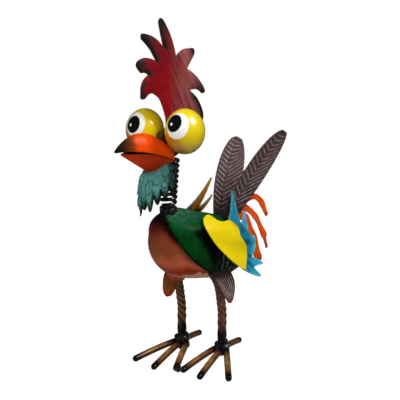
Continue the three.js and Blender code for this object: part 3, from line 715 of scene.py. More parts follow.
class ROOSTER_OT_body(bpy.types.Operator):
    """Adds the breast and the cape over the back"""

    bl_idname = "rooster.body"
    bl_label = "Body"

    def execute(self, context):
        sizes = context.scene.rooster_body
        paint = paints(context)
        egg = Egg(sizes)

        def breast_dents(point):
            return 0.35 * noise.noise(point / 26) + 0.12 * noise.noise(point / 9)

        def breast_marks(point):
            # Painted shadow on the breast along the cape's front edge
            seam_shadow = 0.16 * ramp(behind_cape_edge(point), -8, 0) * ramp(point.z, 120, 140)
            height = (point.z - BREAST_PALE_Z) / BREAST_PAINT_SPAN
            return height + seam_shadow + 0.03 * noise.noise(point / 12), 0.0

        # Rust-red enamel on hammered sheet, with painted reflections in its colour: dark towards the neck, a
        # red line low down and pale pink under the belly
        rust = enamel(
            "rust_enamel",
            [
                (0.0, "#ffd2c2"),
                (0.15, "#ffc0a8"),
                (0.19, "#d65a34"),
                (0.225, "#a8300e"),
                (0.27, "#bc4a24"),
                (0.37, "#c4603c"),
                (0.52, paint["breast"]),
                (0.66, "#7c3a22"),
                (0.76, "#66261a"),
                (0.83, "#44140c"),
                (0.87, "#220806"),
                (1.0, "#120605"),
            ],
            grain=(7, 7, 16),
            smudge=0.05,
            wash=0.12,
            roughness=0.34,
            coat=0.15,
            coat_roughness=0.12,
            on_object=True,
        )
        breast = body_skin(egg, 0, breast_marks, breast_dents)
        piece("breast_shell", breast, "frame", "breast_paint", [rust], node="breast_shell")

        def cape_dents(point):
            return 0.4 * noise.noise(point / 22) + 0.4 * rumpled(point)

        def rumpled(point):
            low = ramp(point.z, 165, 140) * ramp(point.y, -15, 12) * ramp(point.y, 52, 30)
            return low * math.sin(2 * math.pi * point.y / CAPE_RIPPLE + 3 * noise.noise(point / 14))

        def cape_marks(point):
            behind = behind_cape_edge(point)
            # Painted shadow of the wing turns the green black; the dark band along the front edge is added to
            # it
            past = point.y - CAPE_SHADOW_Y - CAPE_SHADOW_LEAN * max(0, CAPE_SHADOW_TOP_Z - point.z)
            black = ramp(past, -6, 6) * ramp(point.z, CAPE_SHADOW_TOP_Z + 7, CAPE_SHADOW_TOP_Z)
            black = max(black * ramp(point.z, 118, 136), 0.8 * ramp(behind, 3.5, 0.5))
            # Paler over the shoulder: brush strokes together with painted sheen where the top is lit
            pale_strokes_and_sheen = ramp(point.z, 180, 206) * ramp(behind, 2, 8)
            # The raised-line colour paints a highlight along the top of the cape and reflections on one side
            # of each ripple
            return 0.42 - 0.42 * black + 0.4 * pale_strokes_and_sheen, max(0.4 * ramp(point.z, 192, 208), 1.6 * rumpled(point))

        # Bottle-green enamel: very dark, black towards the wing as its painted shadow, with paler brush marks
        # and painted sheen over the shoulder, and painted reflections on the ripples low down
        green = enamel(
            "bottle_green_enamel",
            [
                (0.0, "#020302"),
                (0.2, "#021205"),
                (0.42, paint["cape"]),
                (0.56, "#06401b"),
                (0.7, "#0c4628"),
                (0.86, "#1e4c32"),
                (1.0, "#4a6e56"),
            ],
            grain=(3, 5, 26),
            smudge=0.12,
            wash=0.2,
            ridge="#5f7a69",
            worn=(0.42, 0.66, 0.05),
            roughness=0.5,
            specular=0.03,
            coat=0.02,
            coat_roughness=0.1,
            bump=0.3,
            on_object=True,
        )
        cape = body_skin(egg, GAP, cape_marks, cape_dents)
        cut(cape, CAPE_EDGE_NORMAL * CAPE_EDGE_OFFSET, CAPE_EDGE_NORMAL, keep_front=True)
        cut(cape, Vector((0, 0, 0)), LEFT, keep_front=True)
        bmesh.ops.mirror(
            cape, geom=cape.verts[:] + cape.edges[:] + cape.faces[:], merge_dist=MERGE_SLACK, axis="X"
        )
        bmesh.ops.remove_doubles(cape, verts=cape.verts, dist=MERGE_SLACK)
        bmesh.ops.recalc_face_normals(cape, faces=cape.faces)
        piece(
            "back_cape",
            cape,
            "frame",
            "cape_paint",
            [green, black_gloss()],
            node="back_cape",
            thickness=sizes.cape / MM,
            offset=1.0,
            rim=1,
        )
        return {"FINISHED"}


# Neck and head

# The socket's section, as (radius, height over the neck's foot), and the height and size of its weld lumps
SOCKET_PROFILE = [
    (0.1, -14), (10, -12), (10.4, -8), (10.8, -5), (10.9, -1.8), (10.2, -0.4), (9.4, 0), (0.1, 0)
]
SOCKET_SIDES = 48
SOCKET_LUMPS = 2.6
SOCKET_LUMP_SIZE = 4.5
SPRING_STEPS_A_TURN = 28
WIRE_SIDES = 12
HEAD_HALF = Vector((21, 17, 18))


class ROOSTER_OT_neck(bpy.types.Operator):
    """Adds the neck's socket, the coil spring and the head block"""

    bl_idname = "rooster.neck"
    bl_label = "Neck"

    def execute(self, context):
        sizes = context.scene.rooster_head
        black = black_gloss()
        socket = bmesh.new()
        profile = [socket.verts.new((r, 0, z)) for r, z in SOCKET_PROFILE]
        for a, b in zip(profile, profile[1:]):
            socket.edges.new((a, b))
        bmesh.ops.spin(
            socket,
            geom=socket.verts[:] + socket.edges[:],
            cent=(0, 0, 0),
            axis=UP,
            angle=2 * math.pi,
            steps=SOCKET_SIDES,
            use_merge=True,
        )
        bmesh.ops.remove_doubles(socket, verts=socket.verts, dist=MERGE_SLACK)
        close(socket)
        bmesh.ops.subdivide_edges(socket, edges=socket.edges, cuts=2, use_grid_fill=True)
        for vert in socket.verts:
            out = Vector((vert.co.x, vert.co.y, 0)).normalized()
            lump = SOCKET_LUMPS * noise.noise(vert.co / SOCKET_LUMP_SIZE)
            vert.co += out * (lump * ramp(vert.co.z, 0.5, -1.5))
        bmesh.ops.translate(socket, vec=NECK_FOOT, verts=socket.verts)
        piece("neck_socket", socket, "frame", "black_paint", [black], node="neck_socket")

        wire = sizes.spring_wire / MM / 2
        coil = sizes.spring_diameter / MM / 2 - wire
        inset = wire + GAP
        steps = sizes.spring_turns * SPRING_STEPS_A_TURN
        rise = NECK_TOP.z - NECK_FOOT.z - 2 * inset
        spring = bmesh.new()
        ring = bmesh.ops.create_circle(spring, segments=WIRE_SIDES, radius=wire)
        upright = Matrix.Rotation(math.pi / 2, 3, "Y")
        bmesh.ops.rotate(spring, cent=(0, 0, 0), matrix=upright, verts=spring.verts)
        bmesh.ops.translate(spring, vec=(0, -coil, NECK_FOOT.z + inset), verts=ring["verts"])
        bmesh.ops.spin(
            spring,
            geom=spring.verts[:] + spring.edges[:],
            cent=(0, 0, 0),
            axis=UP,
            dvec=UP * (rise / steps),
            angle=2 * math.pi * sizes.spring_turns,
            steps=steps,
        )
        close(spring)
        lean = Matrix.Identity(4)
        lean[1][2] = (NECK_TOP.y - NECK_FOOT.y) / (NECK_TOP.z - NECK_FOOT.z)
        lean[1][3] = NECK_FOOT.y - lean[1][2] * NECK_FOOT.z
        bmesh.ops.transform(spring, matrix=lean, verts=spring.verts)
        made = piece("neck_spring", spring, None, "spring_steel", [black], node="neck_spring")
        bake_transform(made, "frame", "head", start=in_frame(NECK_FOOT), end=in_frame(NECK_TOP))

        block = ball(HEAD_CENTRE, HEAD_HALF, 5, lumps=0.6, grain=9)
        for spot, way in ((BACK * HEAD_FRONT_Y, BACK), (NECK_TOP, UP)):
            made = cut(block, spot, way, keep_front=True)
            bmesh.ops.holes_fill(block, edges=[item for item in made if isinstance(item, bmesh.types.BMEdge)])
        bmesh.ops.recalc_face_normals(block, faces=block.faces)
        made = piece("head_block", block, "head", "black_paint", [black], node="head_block")
        made.data.set_sharp_from_angle(angle=math.radians(40))
        return {"FINISHED"}


# Where the yellow of both eyes goes over to ochre, the beak's painted reflection, as a direction from an
# eye's middle
BEAK_REFLECTION_SPOT = Vector((-0.17, -0.79, -0.6)).normalized()
# Where each eye's marks are, as directions from its middle, and their reach as shares of its half sizes. The
# spot is a painted highlight on the pupil
EYE_MARKS = {
    "left": {
        "disc": ((0.364, -0.857, 0.365), 0.58),
        "pupil": ((0.185, -0.878, 0.455), 0.405),
        "spot": ((0.069, -0.922, 0.382), 0.07),
    },
    "right": {
        "disc": ((0.25, -0.925, 0.39), 0.57),
        "pupil": ((0.165, -0.952, 0.37), 0.41),
        "spot": ((0.04, -0.98, 0.31), 0.07),
    },
}


class ROOSTER_OT_eyes(bpy.types.Operator):
    """Adds the two large eyes with their painted discs and pupils"""

    bl_idname = "rooster.eyes"
    bl_label = "Eyes"

    def execute(self, context):
        sizes = context.scene.rooster_head
        half = Vector((sizes.eye_half_width, sizes.eye_half_width, sizes.eye_half_height)) / MM
        # Yellow enamel under thick clear gloss: sharp lamp reflections, ochre towards the underside as the
        # beak's painted reflection
        yellow = eye_enamel("yellow_gloss_enamel", paints(context)["eye"])

        def marks(out):
            # Lighter towards the top as painted light, ochre towards the beak as its painted reflection
            return 0.72 + 0.2 * out.z - 0.8 * ramp(out.dot(BEAK_REFLECTION_SPOT), 0.55, 1.0), 0.0

        for side, centre in EYES.items():
            eye = ball(centre, half, 6, marks)
            for mark, (towards, reach) in EYE_MARKS[side].items():
                layer = eye.verts.layers.float.new(mark)
                towards = Vector(towards).normalized()
                for vert in eye.verts:
                    out = Vector((vert.co - centre)[i] / half[i] for i in range(3)).normalized()
                    behind = 4 * max(0, -out.dot(towards))
                    vert[layer] = (out - towards * out.dot(towards)).length / reach + behind
            piece(f"eye_{side}", eye, "head", "eye_paint", [yellow], node=f"eye_{side}")
        return {"FINISHED"}


# Comb, in the plane of symmetry as (y, z): each spike has a tip, the notch after it, two bows and a bluntness

COMB_BROW = [(-57, 322), (-61, 334), (-67.3, 346.5), (-78, 353.5)]
COMB_SPIKES = [
    ((-93.8, 347), (-83.3, 374.7), (-0.23, 0.32), 4.7),
    ((-100.4, 387.8), (-71.8, 390.9), (-0.27, 0.13), 9),
    ((-92.3, 421.5), (-59.5, 406.3), (-0.12, 0.2), 4.4),
    ((-64, 440.3), (-40.5, 395.3), (0.03, 0.12), 4.1),
    ((-11, 404), (-23, 380.5), (0.27, -0.04), 6),
    ((6.5, 351), (-18.2, 354), (0.15, -0.33), 4),
]
COMB_REAR = [(-18.2, 354), (-5.7, 343.2), (4, 325), (1, 312), (-14, 303), (-30, 301), (-42, 300)]
COMB_FOOT = (-56, 300)
# The plate is dished round this point over this reach, and its rim is rolled over by so much
COMB_MIDDLE = Vector((-42, 365))
COMB_REACH = 75
COMB_ROLL = 1.2
# How far soot reaches from the tip of each spike
COMB_SOOT = [15, 20, 30, 30, 13, 34]
# Lean of the brush marks, as a share of their height
COMB_BRUSH_LEAN = 0.5
# Edges that look this way, above the brow, get painted shade
COMB_SHADED_WAY = Vector((-0.9, -0.43))
COMB_BROW_TOP_Z = 352


class ROOSTER_OT_comb(bpy.types.Operator):
    """Adds the comb, a dished plate of curved spikes"""

    bl_idname = "rooster.comb"
    bl_label = "Comb"

    def execute(self, context):
        dish = context.scene.rooster_head.comb_dish / MM
        outline = [Vector(COMB_FOOT), Vector(COMB_BROW[0])]
        outline += samples(through, COMB_BROW, 16)
        outline += spikes(COMB_BROW[-1], COMB_SPIKES)
        outline += samples(through, COMB_REAR, 30)

        def bend(y, z):
            point = Vector((y, z))
            away = (point - COMB_MIDDLE).length / COMB_REACH
            wave = 0.35 * noise.noise(Vector((y / 6, z / 30, 0)))
            roll = COMB_ROLL * ramp(to_edge(point, outline).length, 5, 0)
            return Vector((dish * (1 - away * away) + wave - roll, y, z))

        def dark_tips_and_shade(point):
            way = to_edge(point, outline)
            tip = 0.9 * max(
                ramp((point - Vector(spike[0])).length, reach, 1)
                for spike, reach in zip(COMB_SPIKES, COMB_SOOT)
            )
            # Painted shade on the edges that face away from the key lamp
            shaded = ramp(way.normalized().dot(COMB_SHADED_WAY), 0, 0.7)
            shaded *= max(ramp(point.y, COMB_BROW_TOP_Z, COMB_BROW_TOP_Z + 14), ramp(point.x, -78, -84))
            rear = ramp(point.x, -26, -12) * ramp(point.y, 362, 344)
            return max(tip, 0.9 * ramp(way.length, 9, 1) * shaded, ramp(way.length, 12, 3) * rear)

        def marks(y, z):
            point = Vector((y, z))
            black = dark_tips_and_shade(point)
            low = ramp(z, 400, 340) * ramp(y, -30, -60)
            # Pink brush streaks over the back half, partly painted sheen
            return 0.68 + 0.15 * low - 0.7 * black, 0.8 * ramp(y, -58, -26) * (1 - black)

        # Deep red enamel: bright at the brow, streaked pink behind with brush marks that are partly painted
        # sheen, sooty over the tips, with painted shade under the spikes
        red = enamel(
            "comb_red_enamel",
            [
                (0.0, "#0d0b0a"),
                (0.2, "#261a17"),
                (0.45, "#4a1c1b"),
                (0.7, paints(context)["comb"]),
                (1.0, "#8f0b15"),
            ],
            grain=(4.5, 52, 1),
            smudge=0.12,
            wash=0.12,
            ridge="#96625f",
            worn=(0.34, 0.7, 0.15),
            roughness=0.4,
            coat=0.08,
            coat_roughness=0.2,
        )
        comb = plate(outline, bend, marks, LEFT)
        strokes = comb.loops.layers.uv["paint"]
        for face in comb.faces:
            for loop in face.loops:
                loop[strokes].uv.x += COMB_BRUSH_LEAN * loop[strokes].uv.y
        piece("comb", comb, "head", "comb_paint", [red], node="comb", thickness=SHEET)
        return {"FINISHED"}


# Beak, in the plane of symmetry as (y, z)

BEAK_RIDGE = [(-134, 289), (-100, 323), (-61, 291)]
BEAK_UPPER_LIP = [(-134, 287), (-104, 292), (-61, 273.5)]
BEAK_LOWER_LIP = [(-125.5, 285.2), (-104, 292.4), (-61, 273.4)]
BEAK_LOWER_TIP = Vector((-125.5, 285.2))
BEAK_KEEL = Vector((-80, 257.5))
BEAK_LOWER_HALF_WIDTH = 20
BEAK_TIP_SHARE = 0.012
BEAK_TIP_SLACK = 0.05
BEAK_UPPER_TAPER = 0.75
BEAK_LOWER_TAPER = 0.9
BEAK_KEEL_ROUNDING = 0.85
# The sheet that closes the mouth is black, painted shade inside the mouth: how far it lies under the lower
# lip, and rises in its middle
BEAK_LID_DROP = 0.4
BEAK_TONGUE = 6
# How far the mouth is open, and over what share of the beak
BEAK_MOUTH = 2.6
BEAK_MOUTH_SHARE = 0.7


class ROOSTER_OT_beak(bpy.types.Operator):
    """Adds the upper and the lower beak"""

    bl_idname = "rooster.beak"
    bl_label = "Beak"

    def execute(self, context):
        half_width = context.scene.rooster_head.beak_half_width / MM
        paint = paints(context)

        def upper(u, v):
            share = BEAK_TIP_SHARE + (1 - BEAK_TIP_SHARE) * v
            turn = (u - 0.5) * math.pi
            top, edge = arc(BEAK_RIDGE, share), arc(BEAK_UPPER_LIP, share)
            arch = math.cos(turn)
            width = half_width * share**BEAK_UPPER_TAPER
            return Vector((-width * math.sin(turn), *(edge + (top - edge) * arch)))

        def lower(u, v):
            share = BEAK_TIP_SHARE + (1 - BEAK_TIP_SHARE) * v
            side = 1 - 2 * u
            edge = arc(BEAK_LOWER_LIP, share)
            edge.y -= BEAK_MOUTH * math.sin(math.pi * min(share / BEAK_MOUTH_SHARE, 1))
            keel = BEAK_LOWER_TIP.lerp(BEAK_KEEL, share)
            spread = abs(side) ** BEAK_KEEL_ROUNDING
            width = BEAK_LOWER_HALF_WIDTH * share**BEAK_LOWER_TAPER
            return Vector((-width * side, *(keel + (edge - keel) * spread)))

        # Orange enamel, sooty towards the tip and worn to ochre at the corners
        orange = enamel(
            "beak_orange_enamel",
            [
                (0.0, "#0d0c09"),
                (0.3, "#1e1a12"),
                (0.45, "#6e2c0c"),
                (0.56, paint["beak"]),
                (0.92, "#e84806"),
                (1.0, "#b87020"),
            ],
            grain=(3, 14, 3),
            smudge=0.06,
            wash=0.1,
            ridge="#33190d",
            roughness=0.4,
            specular=0.05,
            coat=0.12,
            coat_roughness=0.06,
        )
        # Redder enamel on the lower beak, darker along its keel and its lip
        red = enamel(
            "beak_red_enamel",
            [(0.0, "#5a1a0b"), (0.18, "#dc3c08"), (0.5, "#e2400a"), (0.9, "#c02c06"), (1.0, "#a8561a")],
            grain=(3, 14, 3),
            smudge=0.1,
            wash=0.12,
            ridge="#6a1a06",
            roughness=0.4,
            coat=0.12,
        )
        # Black on the inner faces and on the sheet across the mouth: painted shade inside the mouth
        inside = black_gloss()

        def upper_marks(u, v):
            top = 0.55 * ramp(abs(u - 0.5), 0.14, 0.02) * ramp(v, 0.9, 0.4)
            return 0.95 * v**0.6, max(top, ramp(abs(u - 0.5), 0.475, 0.5))

        def lower_marks(u, v):
            keel = 0.5 * ramp(abs(u - 0.5), 0.08, 0.0)
            return 0.15 + 0.8 * v, max(keel, 0.8 * ramp(abs(u - 0.5), 0.47, 0.5))

        def lid(u, v):
            left, right = lower(0, v), lower(1, v)
            tongue = BEAK_TONGUE * math.sin(math.pi * u) * ramp(v, 0.05, 0.25)
            return left.lerp(right, u) + UP * (tongue - BEAK_LID_DROP)

        over = sheet(40, 56, (60, 80), upper, upper_marks)
        bmesh.ops.remove_doubles(over, verts=over.verts, dist=BEAK_TIP_SLACK)
        under = sheet(32, 48, (45, 70), lower, lower_marks)
        bmesh.ops.remove_doubles(under, verts=under.verts, dist=BEAK_TIP_SLACK)
        mouth = sheet(12, 24, (45, 70), lid, lower_marks)
        for face in mouth.faces:
            face.material_index = 1
        join(under, mouth)
        for name, slot, bm, finish in (
            ("beak_upper", "beak_paint", over, orange),
            ("beak_lower", "beak_lower_paint", under, red),
        ):
            bmesh.ops.reverse_faces(bm, faces=bm.faces)
            piece(name, bm, "head", slot, [finish, inside], node=name, thickness=SHEET, inner=1)
        return {"FINISHED"}


# Wattle: a fringed bib round the front of the spring

# Where its sides end, how far its front stands before them, and how far it swells below the beak
WATTLE_BACK_Y = -58
WATTLE_DEPTH = 32
WATTLE_BELLY = 8
# Height of the top edge from the front round to a side, as (share of the way, z)
WATTLE_TOP = [(0, 263), (0.25, 260.5), (0.5, 265.5), (0.75, 269.5), (1, 271)]
# How far the top edge is tucked in under the beak, as a share of its reach
WATTLE_TUCK = 0.42
# Each strand: the angle round the bib at which its tip hangs, and the height of the tip
WATTLE_TIPS = [
    (-80, 236), (-62, 226), (-40, 219), (-20, 213), (-1, 206.5),
    (14, 214.5), (31, 212.5), (49, 221), (67, 227), (82, 231),
]
# Depth of the notch between two strands
WATTLE_NOTCH = 17
# The strands are made up of flaps that overlap: how far each stands off, and how many there are down a strand
WATTLE_FLAP = 1.7
WATTLE_FLAPS = 3.2


class ROOSTER_OT_wattle(bpy.types.Operator):
    """Adds the wattle, a fluted bib with torn strands"""

    bl_idname = "rooster.wattle"
    bl_label = "Wattle"

    def execute(self, context):
        half_width = context.scene.rooster_head.wattle_half_width / MM

        def strand_at(u):
            """Number of a strand, how far off its tip u is, and the height of the notch on that side."""
            turn = 180 * u - 90
            number = min(range(len(WATTLE_TIPS)), key=lambda i: abs(turn - WATTLE_TIPS[i][0]))
            at, tip = WATTLE_TIPS[number]
            beside = number + (1 if turn > at else -1)
            if 0 <= beside < len(WATTLE_TIPS):
                other, other_tip = WATTLE_TIPS[beside]
                return number, 2 * abs(turn - at) / abs(other - at), max(tip, other_tip) + WATTLE_NOTCH / 2
            return number, abs(turn - at) / (90 - abs(at)), tip + WATTLE_NOTCH

        def hang(u, v):
            turn = (2 * u - 1) * math.pi / 2
            number, off, notch = strand_at(u)
            tip = WATTLE_TIPS[number][1]
            bottom = tip + (notch - tip) * off**2
            share = abs(2 * u - 1)
            top = through(WATTLE_TOP, share).y
            tuck = 1 - WATTLE_TUCK * ramp(v, 0.18, 0) * ramp(share, 0.9, 0.6)
            belly = 1 + WATTLE_BELLY / WATTLE_DEPTH * math.sin(v * 0.75 * math.pi)
            flap = WATTLE_FLAP * ((v * WATTLE_FLAPS + 0.37 * number) % 1) * ramp(v, 0.05, 0.3)
            flute = flap + 0.7 * math.cos(math.pi * off) * v
            out = Vector((math.sin(turn), -math.cos(turn)))
            return Vector((
                (half_width + flute) * out.x * tuck,
                WATTLE_BACK_Y + (WATTLE_DEPTH * belly + flute) * out.y * tuck,
                top + (bottom - top) * v,
            ))

        def marks(u, v):
            # Darker towards the end at u = 1 as painted shade
            side = ramp(u, 0.82, 1.0)
            off = strand_at(u)[1]
            tone = 0.85 - 0.8 * ramp(v, 0.62, 1.0) - 0.75 * side
            return tone, ramp(v, 1.0, 0.7) * (1 - 0.8 * side) * (1 - 0.5 * off)

        # Teal wash dragged down the strands: short chalky strokes over a green that goes black at the tips,
        # darker at one end as painted shade
        teal = enamel(
            "wattle_teal_wash",
            [
                (0.0, "#060b09"),
                (0.25, "#0e2620"),
                (0.5, "#24534c"),
                (0.8, paints(context)["wattle"]),
                (1.0, "#4a827a"),
            ],
            grain=(1.1, 10, 2),
            smudge=0.3,
            wash=0.3,
            ridge="#86aaa2",
            worn=(0.5, 0.68, 0.0),
            roughness=0.45,
            coat=0.05,
            coat_roughness=0.2,
            bump=0.3,
        )
        bib = sheet(150, 64, (100, 60), hang, marks)
        piece(
            "wattle", bib, "head", "wattle_paint", [teal], node="wattle", thickness=THIN_SHEET, even=False
        )
        return {"FINISHED"}


# Wings, in the wing's own plane: u runs back along the top edge, v runs down and out

WING_FRONT = Vector((25, -15, 199))
WING_BACKWARDS = (Vector((21.5, 29, 185)) - WING_FRONT).normalized()
WING_OUT = -WING_BACKWARDS.cross(Vector((56, 28, 125)) - WING_FRONT).normalized()
WING_DOWN = WING_BACKWARDS.cross(WING_OUT).normalized()
WING_EDGE = [
    (54.4, 69.5), (28, 59), (6, 42.8), (-10.4, 25.3), (-12.2, 11.8), (-2.8, 1.8), (5, 1.5),
    (11.4, 9.1), (22.4, 9.2), (35.3, 5.6), (43.4, 12.6), (44.5, 26.8), (62.7, 39.7), (60.1, 55.8),
]
WING_EDGE_STEPS = 104
# The plate is domed round this point over this reach, and lies so far off the fringe where they meet
WING_MIDDLE = Vector((36, 28))
WING_REACH = 50
WING_LAP = 1.2
WING_BLEND = 4
# Steps in which a plate is moved out until it clears the body
DRAPE_STEPS = 8
FRINGE_INNER = (36, 36)
FRINGE_END = (56, 66)
FRINGE_LIFT_SPAN = 38
# How far a scored line runs in from each notch of a fringe, as a share of the way, and how deep it is
FRINGE_SCORE = 0.5
FRINGE_CREASE = 1.6
# Each fringe: where its outline starts, and its spikes as on the comb
FRINGES = {
    "left": ((36, 4), [
        ((46.2, -35), (74.6, 0.3), (0.7, -0.18), 1.4),
        ((83.7, -17.5), (77.4, 28.8), (0.27, -0.26), 2.4),
        ((98.6, 15), (82, 46.7), (-0.15, -0.18), 2.5),
        ((104, 52.8), (81.5, 61.5), (-0.06, 0.07), 2),
        ((93.3, 71.8), FRINGE_END, (0.02, -0.08), 2),
    ]),
    "right": ((3, 8), [
        ((39.2, -43.2), (25.6, -9.4), (-0.11, 0.09), 1),
        ((42.9, -27.5), (31, 1.5), (0.04, 0.04), 1),
        ((88, 12), (82, 45), (0.02, -0.1), 2.5),
        ((104, 52), (81.5, 61.5), (-0.06, 0.07), 2),
        ((93.3, 71.8), FRINGE_END, (0.02, -0.08), 2),
    ]),
}


def on_wing(u, v, lift):
    """A point over the plane of the left wing."""
    return WING_FRONT + WING_BACKWARDS * u + WING_DOWN * v + WING_OUT * lift


class ROOSTER_OT_wings(bpy.types.Operator):
    """Adds the two wing plates and the fringes behind them"""

    bl_idname = "rooster.wings"
    bl_label = "Wings"

    def execute(self, context):
        sizes = context.scene.rooster_wings
        paint = paints(context)
        egg = Egg(context.scene.rooster_body)
        clearance = sizes.clearance / MM
        dome_height = sizes.dome / MM
        fringe_lift = sizes.lift / MM

        def drape(u, v):
            lift = -SHEET - GAP
            for _ in range(DRAPE_STEPS):
                lift += max(0, clearance - egg.height(on_wing(u, v, lift)))
            return lift

        def wing_place(u, v):
            away = (Vector((u, v)) - WING_MIDDLE).length / WING_REACH
            dome = dome_height * max(0, 1 - away * away)
            return on_wing(u, v, soft_max(dome, drape(u, v) + SHEET + WING_LAP, WING_BLEND))

        def scored(point, lines):
            return max(ramp(to_edge(point, line).length, 4.5, 0.5) for line in lines)

        def fringe_place(u, v):
            raised = max(0, -v) / FRINGE_LIFT_SPAN
            crease = FRINGE_CREASE * scored(Vector((u, v)), scores)
            lift = fringe_lift * raised * raised - SHEET - GAP - crease
            return on_wing(u, v, max(lift, drape(u, v)))

        # Lemon-yellow enamel: even and glossy, with painted shade in ochre-brown towards the fringe at the
        # upper back
        lemon = enamel(
            "wing_yellow_enamel",
            [(0.0, "#7a5a0c"), (0.3, "#c2a510"), (0.6, paint["wing"]), (1.0, "#e0c80c")],
            grain=(6, 10, 6),
            smudge=0.08,
            wash=0.04,
            roughness=0.34,
            coat=0.1,
            coat_roughness=0.2,
            bump=0.06,
        )
        # Turquoise enamel: paler along cut edges, with painted shade where it goes under the wing and along
        # its scored creases
        turquoise = enamel(
            "fringe_turquoise_enamel",
            [(0.0, "#0e566c"), (0.35, "#1b7c97"), (0.65, paint["fringe"]), (1.0, "#48b2c8")],
            grain=(3, 9, 3),
            smudge=0.2,
            wash=0.12,
            ridge="#9fd3d8",
            roughness=0.36,
            coat=0.1,
        )
        # Golden ochre lacquer on the side that faces the body
        ochre = enamel(
            "fringe_ochre_lacquer",
            [(0.0, "#6a4310"), (0.5, "#a86c18"), (1.0, "#c08a2c")],
            grain=(3, 9, 3),
            smudge=0.3,
            wash=0.2,
            roughness=0.35,
            metallic=0.3,
            coat=0.4,
        )
        wing_outline = samples(through, WING_EDGE, WING_EDGE_STEPS) + [Vector(WING_EDGE[0])]

        def wing_marks(u, v):
            # Darker towards the fringe at the upper back: painted shade
            return 0.72 - 0.5 * ramp(u, 26, 44) * ramp(v, 30, 8), 0.0

        for side, (start, teeth) in FRINGES.items():
            turn = Vector((1 if side == "left" else -1, 1, 1))
            wing = plate(wing_outline, wing_place, wing_marks, WING_OUT)
            outline = [Vector(start)] + spikes(start, teeth) + [Vector(FRINGE_INNER)]
            scores = [
                (Vector(notch), Vector(notch).lerp(Vector(FRINGE_INNER), FRINGE_SCORE))
                for _, notch, _, _ in teeth[:-1]
            ]

            def fringe_marks(u, v):
                point = Vector((u, v))
                edge = to_edge(point, outline).length
                # Painted shade in the scored creases and towards the wing
                score_shade = 0.5 * scored(point, scores)
                tone = 0.2 + 0.55 * ramp(u, 50, 100) + 0.3 * ramp(-v, 0, 30) - score_shade
                return tone, 0.4 * ramp(edge, 1.8, 0.4)

            fringe = plate(outline, fringe_place, fringe_marks, WING_OUT)
            for bm in (wing, fringe):
                bmesh.ops.scale(bm, vec=turn, verts=bm.verts)
                if turn.x < 0:
                    bmesh.ops.reverse_faces(bm, faces=bm.faces)
            piece(f"wing_{side}", wing, "frame", "wing_paint", [lemon], node=f"wing_{side}", thickness=SHEET)
            piece(
                f"wing_fringe_{side}",
                fringe,
                "frame",
                "fringe_paint",
                [turquoise, ochre],
                node=f"wing_fringe_{side}",
                thickness=SHEET,
                inner=1,
            )
        return {"FINISHED"}


# Tail

# Each tail feather: its root and tip, how far off its middle the barbs meet as a share of its half width,
# how high the sheet lies there as a share of its edges' lift, and the rake of its front and back barbs
TAIL = {
    "left": (Vector((5, 42.5, 178)), Vector((43, 112.7, 296.5)), 0, 1.5, (0.45, 1.3)),
    "right": (Vector((-5, 42.5, 178)), Vector((-43, 112.5, 280.4)), -0.28, 1.0, (0.35, 1.2)),
}
# A feather stops just short of its point. Then: how wide it starts, how late it swells and how full it is
LEAF_TIP_SHARE = 0.995
LEAF_ROOT_SHARE = 0.08
LEAF_SWELL = 1.2
LEAF_FULLNESS = 0.4
# How narrow the ridge of a barb is
BARB_SHARPNESS = 2.2
# Each finger of the plume: points of its middle line as (y, z, width), and how far it lies to the left
PLUME = [
    ([
        (46, 180, 8), (68, 197, 8), (95, 204, 8), (107, 198.7, 8), (114, 191, 9.4), (119.7, 180, 6.3),
        (124, 173, 5.5),
    ], 1.4),
    ([
        (46, 177, 9), (62, 189, 10.5), (78, 191, 10.8), (91, 184.6, 8), (102.3, 174, 8.9), (108, 165.6, 7),
        (113.4, 156, 8.3), (120, 145, 10.5), (122, 138, 5.2), (126.5, 125, 4.5),
    ], 0.0),
    ([
        (44, 172, 13), (66, 179, 12), (82.5, 176.5, 11.4), (92, 158, 12), (99.6, 144, 14), (103, 133, 14),
        (107, 121, 13.3), (110.5, 112, 15), (114, 107, 9),
    ], -1.4),
]


def leaf_width(share):
    """Width of a leaf-shaped feather along its rib, as a share of its greatest."""
    swollen = LEAF_ROOT_SHARE + (1 - LEAF_ROOT_SHARE) * share**LEAF_SWELL
    return math.sin(math.pi * swollen) ** LEAF_FULLNESS


